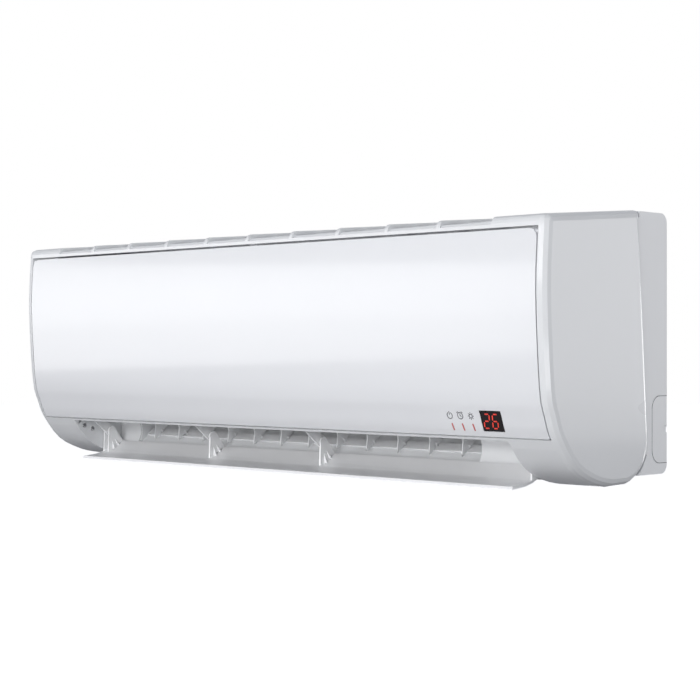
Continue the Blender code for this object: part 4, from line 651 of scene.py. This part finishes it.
def makeFloor():
    size = studio["floorSize"]
    data = bpy.data.meshes.new("floor")
    corners = [(-size, -size), (size, -size), (size, size), (-size, size)]
    data.from_pydata([(x, y, -studio["floorDrop"]) for x, y in corners], [], [(0, 1, 2, 3)])
    floor = bpy.data.objects.new("floor", data)
    bpy.context.scene.collection.objects.link(floor)
    made = bpy.data.materials.new("paleFloor")
    made.use_nodes = True
    tree = made.node_tree
    shader = tree.nodes["Principled BSDF"]
    shader.inputs["Roughness"].default_value = studio["floorRoughness"]
    shader.inputs["Emission Color"].default_value = (1, 1, 1, 1)
    path = addNode(tree, "ShaderNodeLightPath")
    seen = addNode(tree, "ShaderNodeMath", operation="MAXIMUM")
    link(tree, path.outputs["Is Camera Ray"], seen.inputs[0])
    link(tree, path.outputs["Is Transmission Ray"], seen.inputs[1])
    tone = addNode(tree, "ShaderNodeMix", data_type="RGBA")
    tone.inputs["A"].default_value = (*studio["floorBounce"], 1)
    tone.inputs["B"].default_value = (*studio["floorTone"], 1)
    link(tree, seen.outputs[0], tone.inputs["Factor"])
    link(tree, tone.outputs["Result"], shader.inputs["Base Color"])
    lift = addNode(tree, "ShaderNodeMath", operation="MULTIPLY")
    lift.inputs[1].default_value = studio["floorLift"]
    link(tree, seen.outputs[0], lift.inputs[0])
    link(tree, lift.outputs[0], shader.inputs["Emission Strength"])
    back = addNode(tree, "ShaderNodeNewGeometry")        # from below, the floor can't be seen
    clear = addNode(tree, "ShaderNodeBsdfTransparent")
    mix = addNode(tree, "ShaderNodeMixShader")
    link(tree, back.outputs["Backfacing"], mix.inputs["Fac"])
    link(tree, shader.outputs[0], mix.inputs[1])
    link(tree, clear.outputs[0], mix.inputs[2])
    link(tree, mix.outputs[0], tree.nodes["Material Output"].inputs["Surface"])
    data.materials.append(made)


def makeWorld():
    world = bpy.data.worlds.new("studio")
    bpy.context.scene.world = world
    world.use_nodes = True
    tree = world.node_tree
    tree.nodes.clear()
    out = addNode(tree, "ShaderNodeOutputWorld")
    path = addNode(tree, "ShaderNodeLightPath")
    place = addNode(tree, "ShaderNodeTexCoord")
    split = addNode(tree, "ShaderNodeSeparateXYZ")
    link(tree, place.outputs["Generated"], split.inputs[0])
    height = addNode(tree, "ShaderNodeMapRange")
    height.inputs["From Min"].default_value = -1.0
    height.inputs["From Max"].default_value = 1.0
    link(tree, split.outputs["Z"], height.inputs["Value"])
    ramp = addNode(tree, "ShaderNodeValToRGB")
    stops = ramp.color_ramp.elements
    stops[0].position, stops[0].color = studio["downEnds"], (*studio["down"], 1)
    stops[1].position, stops[1].color = studio["levelAt"], (*studio["level"], 1)
    top = stops.new(studio["upStarts"])
    top.color = (*studio["up"], 1)
    link(tree, height.outputs["Result"], ramp.inputs["Fac"])
    soft = addNode(tree, "ShaderNodeBackground")
    soft.inputs["Strength"].default_value = studio["strength"]
    link(tree, ramp.outputs["Color"], soft.inputs["Color"])
    white = addNode(tree, "ShaderNodeBackground")
    white.inputs["Color"].default_value = (1, 1, 1, 1)
    mix = addNode(tree, "ShaderNodeMixShader")
    link(tree, path.outputs["Is Camera Ray"], mix.inputs["Fac"])
    link(tree, soft.outputs[0], mix.inputs[1])
    link(tree, white.outputs[0], mix.inputs[2])
    link(tree, mix.outputs[0], out.inputs["Surface"])


# softboxes: where each stands, what it faces, its size in metres and its power in watts
lamps = {
    "keySoftbox": dict(place=(0.55, -2.2, 1.25), aim=(0, -0.12, -0.05), size=(2.0, 1.0), power=2),
    "leftSoftbox": dict(place=(-2.35, -2.3, 0.02), aim=(0, -0.15, 0), size=(1.9, 0.9), power=13),
    "lowSoftbox": dict(place=(0.6, -2.4, 0.35), aim=(0, -0.15, -0.1), size=(1.8, 0.4), power=16),
    "rightSoftbox": dict(place=(1.9, 1.5, 0.25), aim=(0.4, -0.1, 0), size=(1.2, 1.0), power=7.5),
    "floorSoftbox": dict(place=(0.8, -2.0, -0.35), aim=(0, -0.1, -0.12), size=(1.8, 0.3), power=9),
    "backSoftbox": dict(place=(-0.4, 2.6, -0.05), aim=(0, 0, -0.05), size=(2.2, 1.2), power=26),
}


def makeLamps():
    for name, values in lamps.items():
        data = bpy.data.lights.new(name, "AREA")
        data.shape = "RECTANGLE"
        data.size, data.size_y = values["size"]
        data.energy = values["power"]
        lamp = bpy.data.objects.new(name, data)
        bpy.context.scene.collection.objects.link(lamp)
        lamp.location = values["place"]
        way = np.array(values["aim"]) - np.array(values["place"])
        turn = math.atan2(-way[0], way[1])
        tilt = math.atan2(way[2], math.hypot(way[0], way[1]))
        lamp.rotation_euler = (math.radians(90) + tilt, 0, turn)


makeFloor()
makeWorld()
makeLamps()
bpy.context.scene.view_settings.view_transform = "Standard"
print("room and light made")
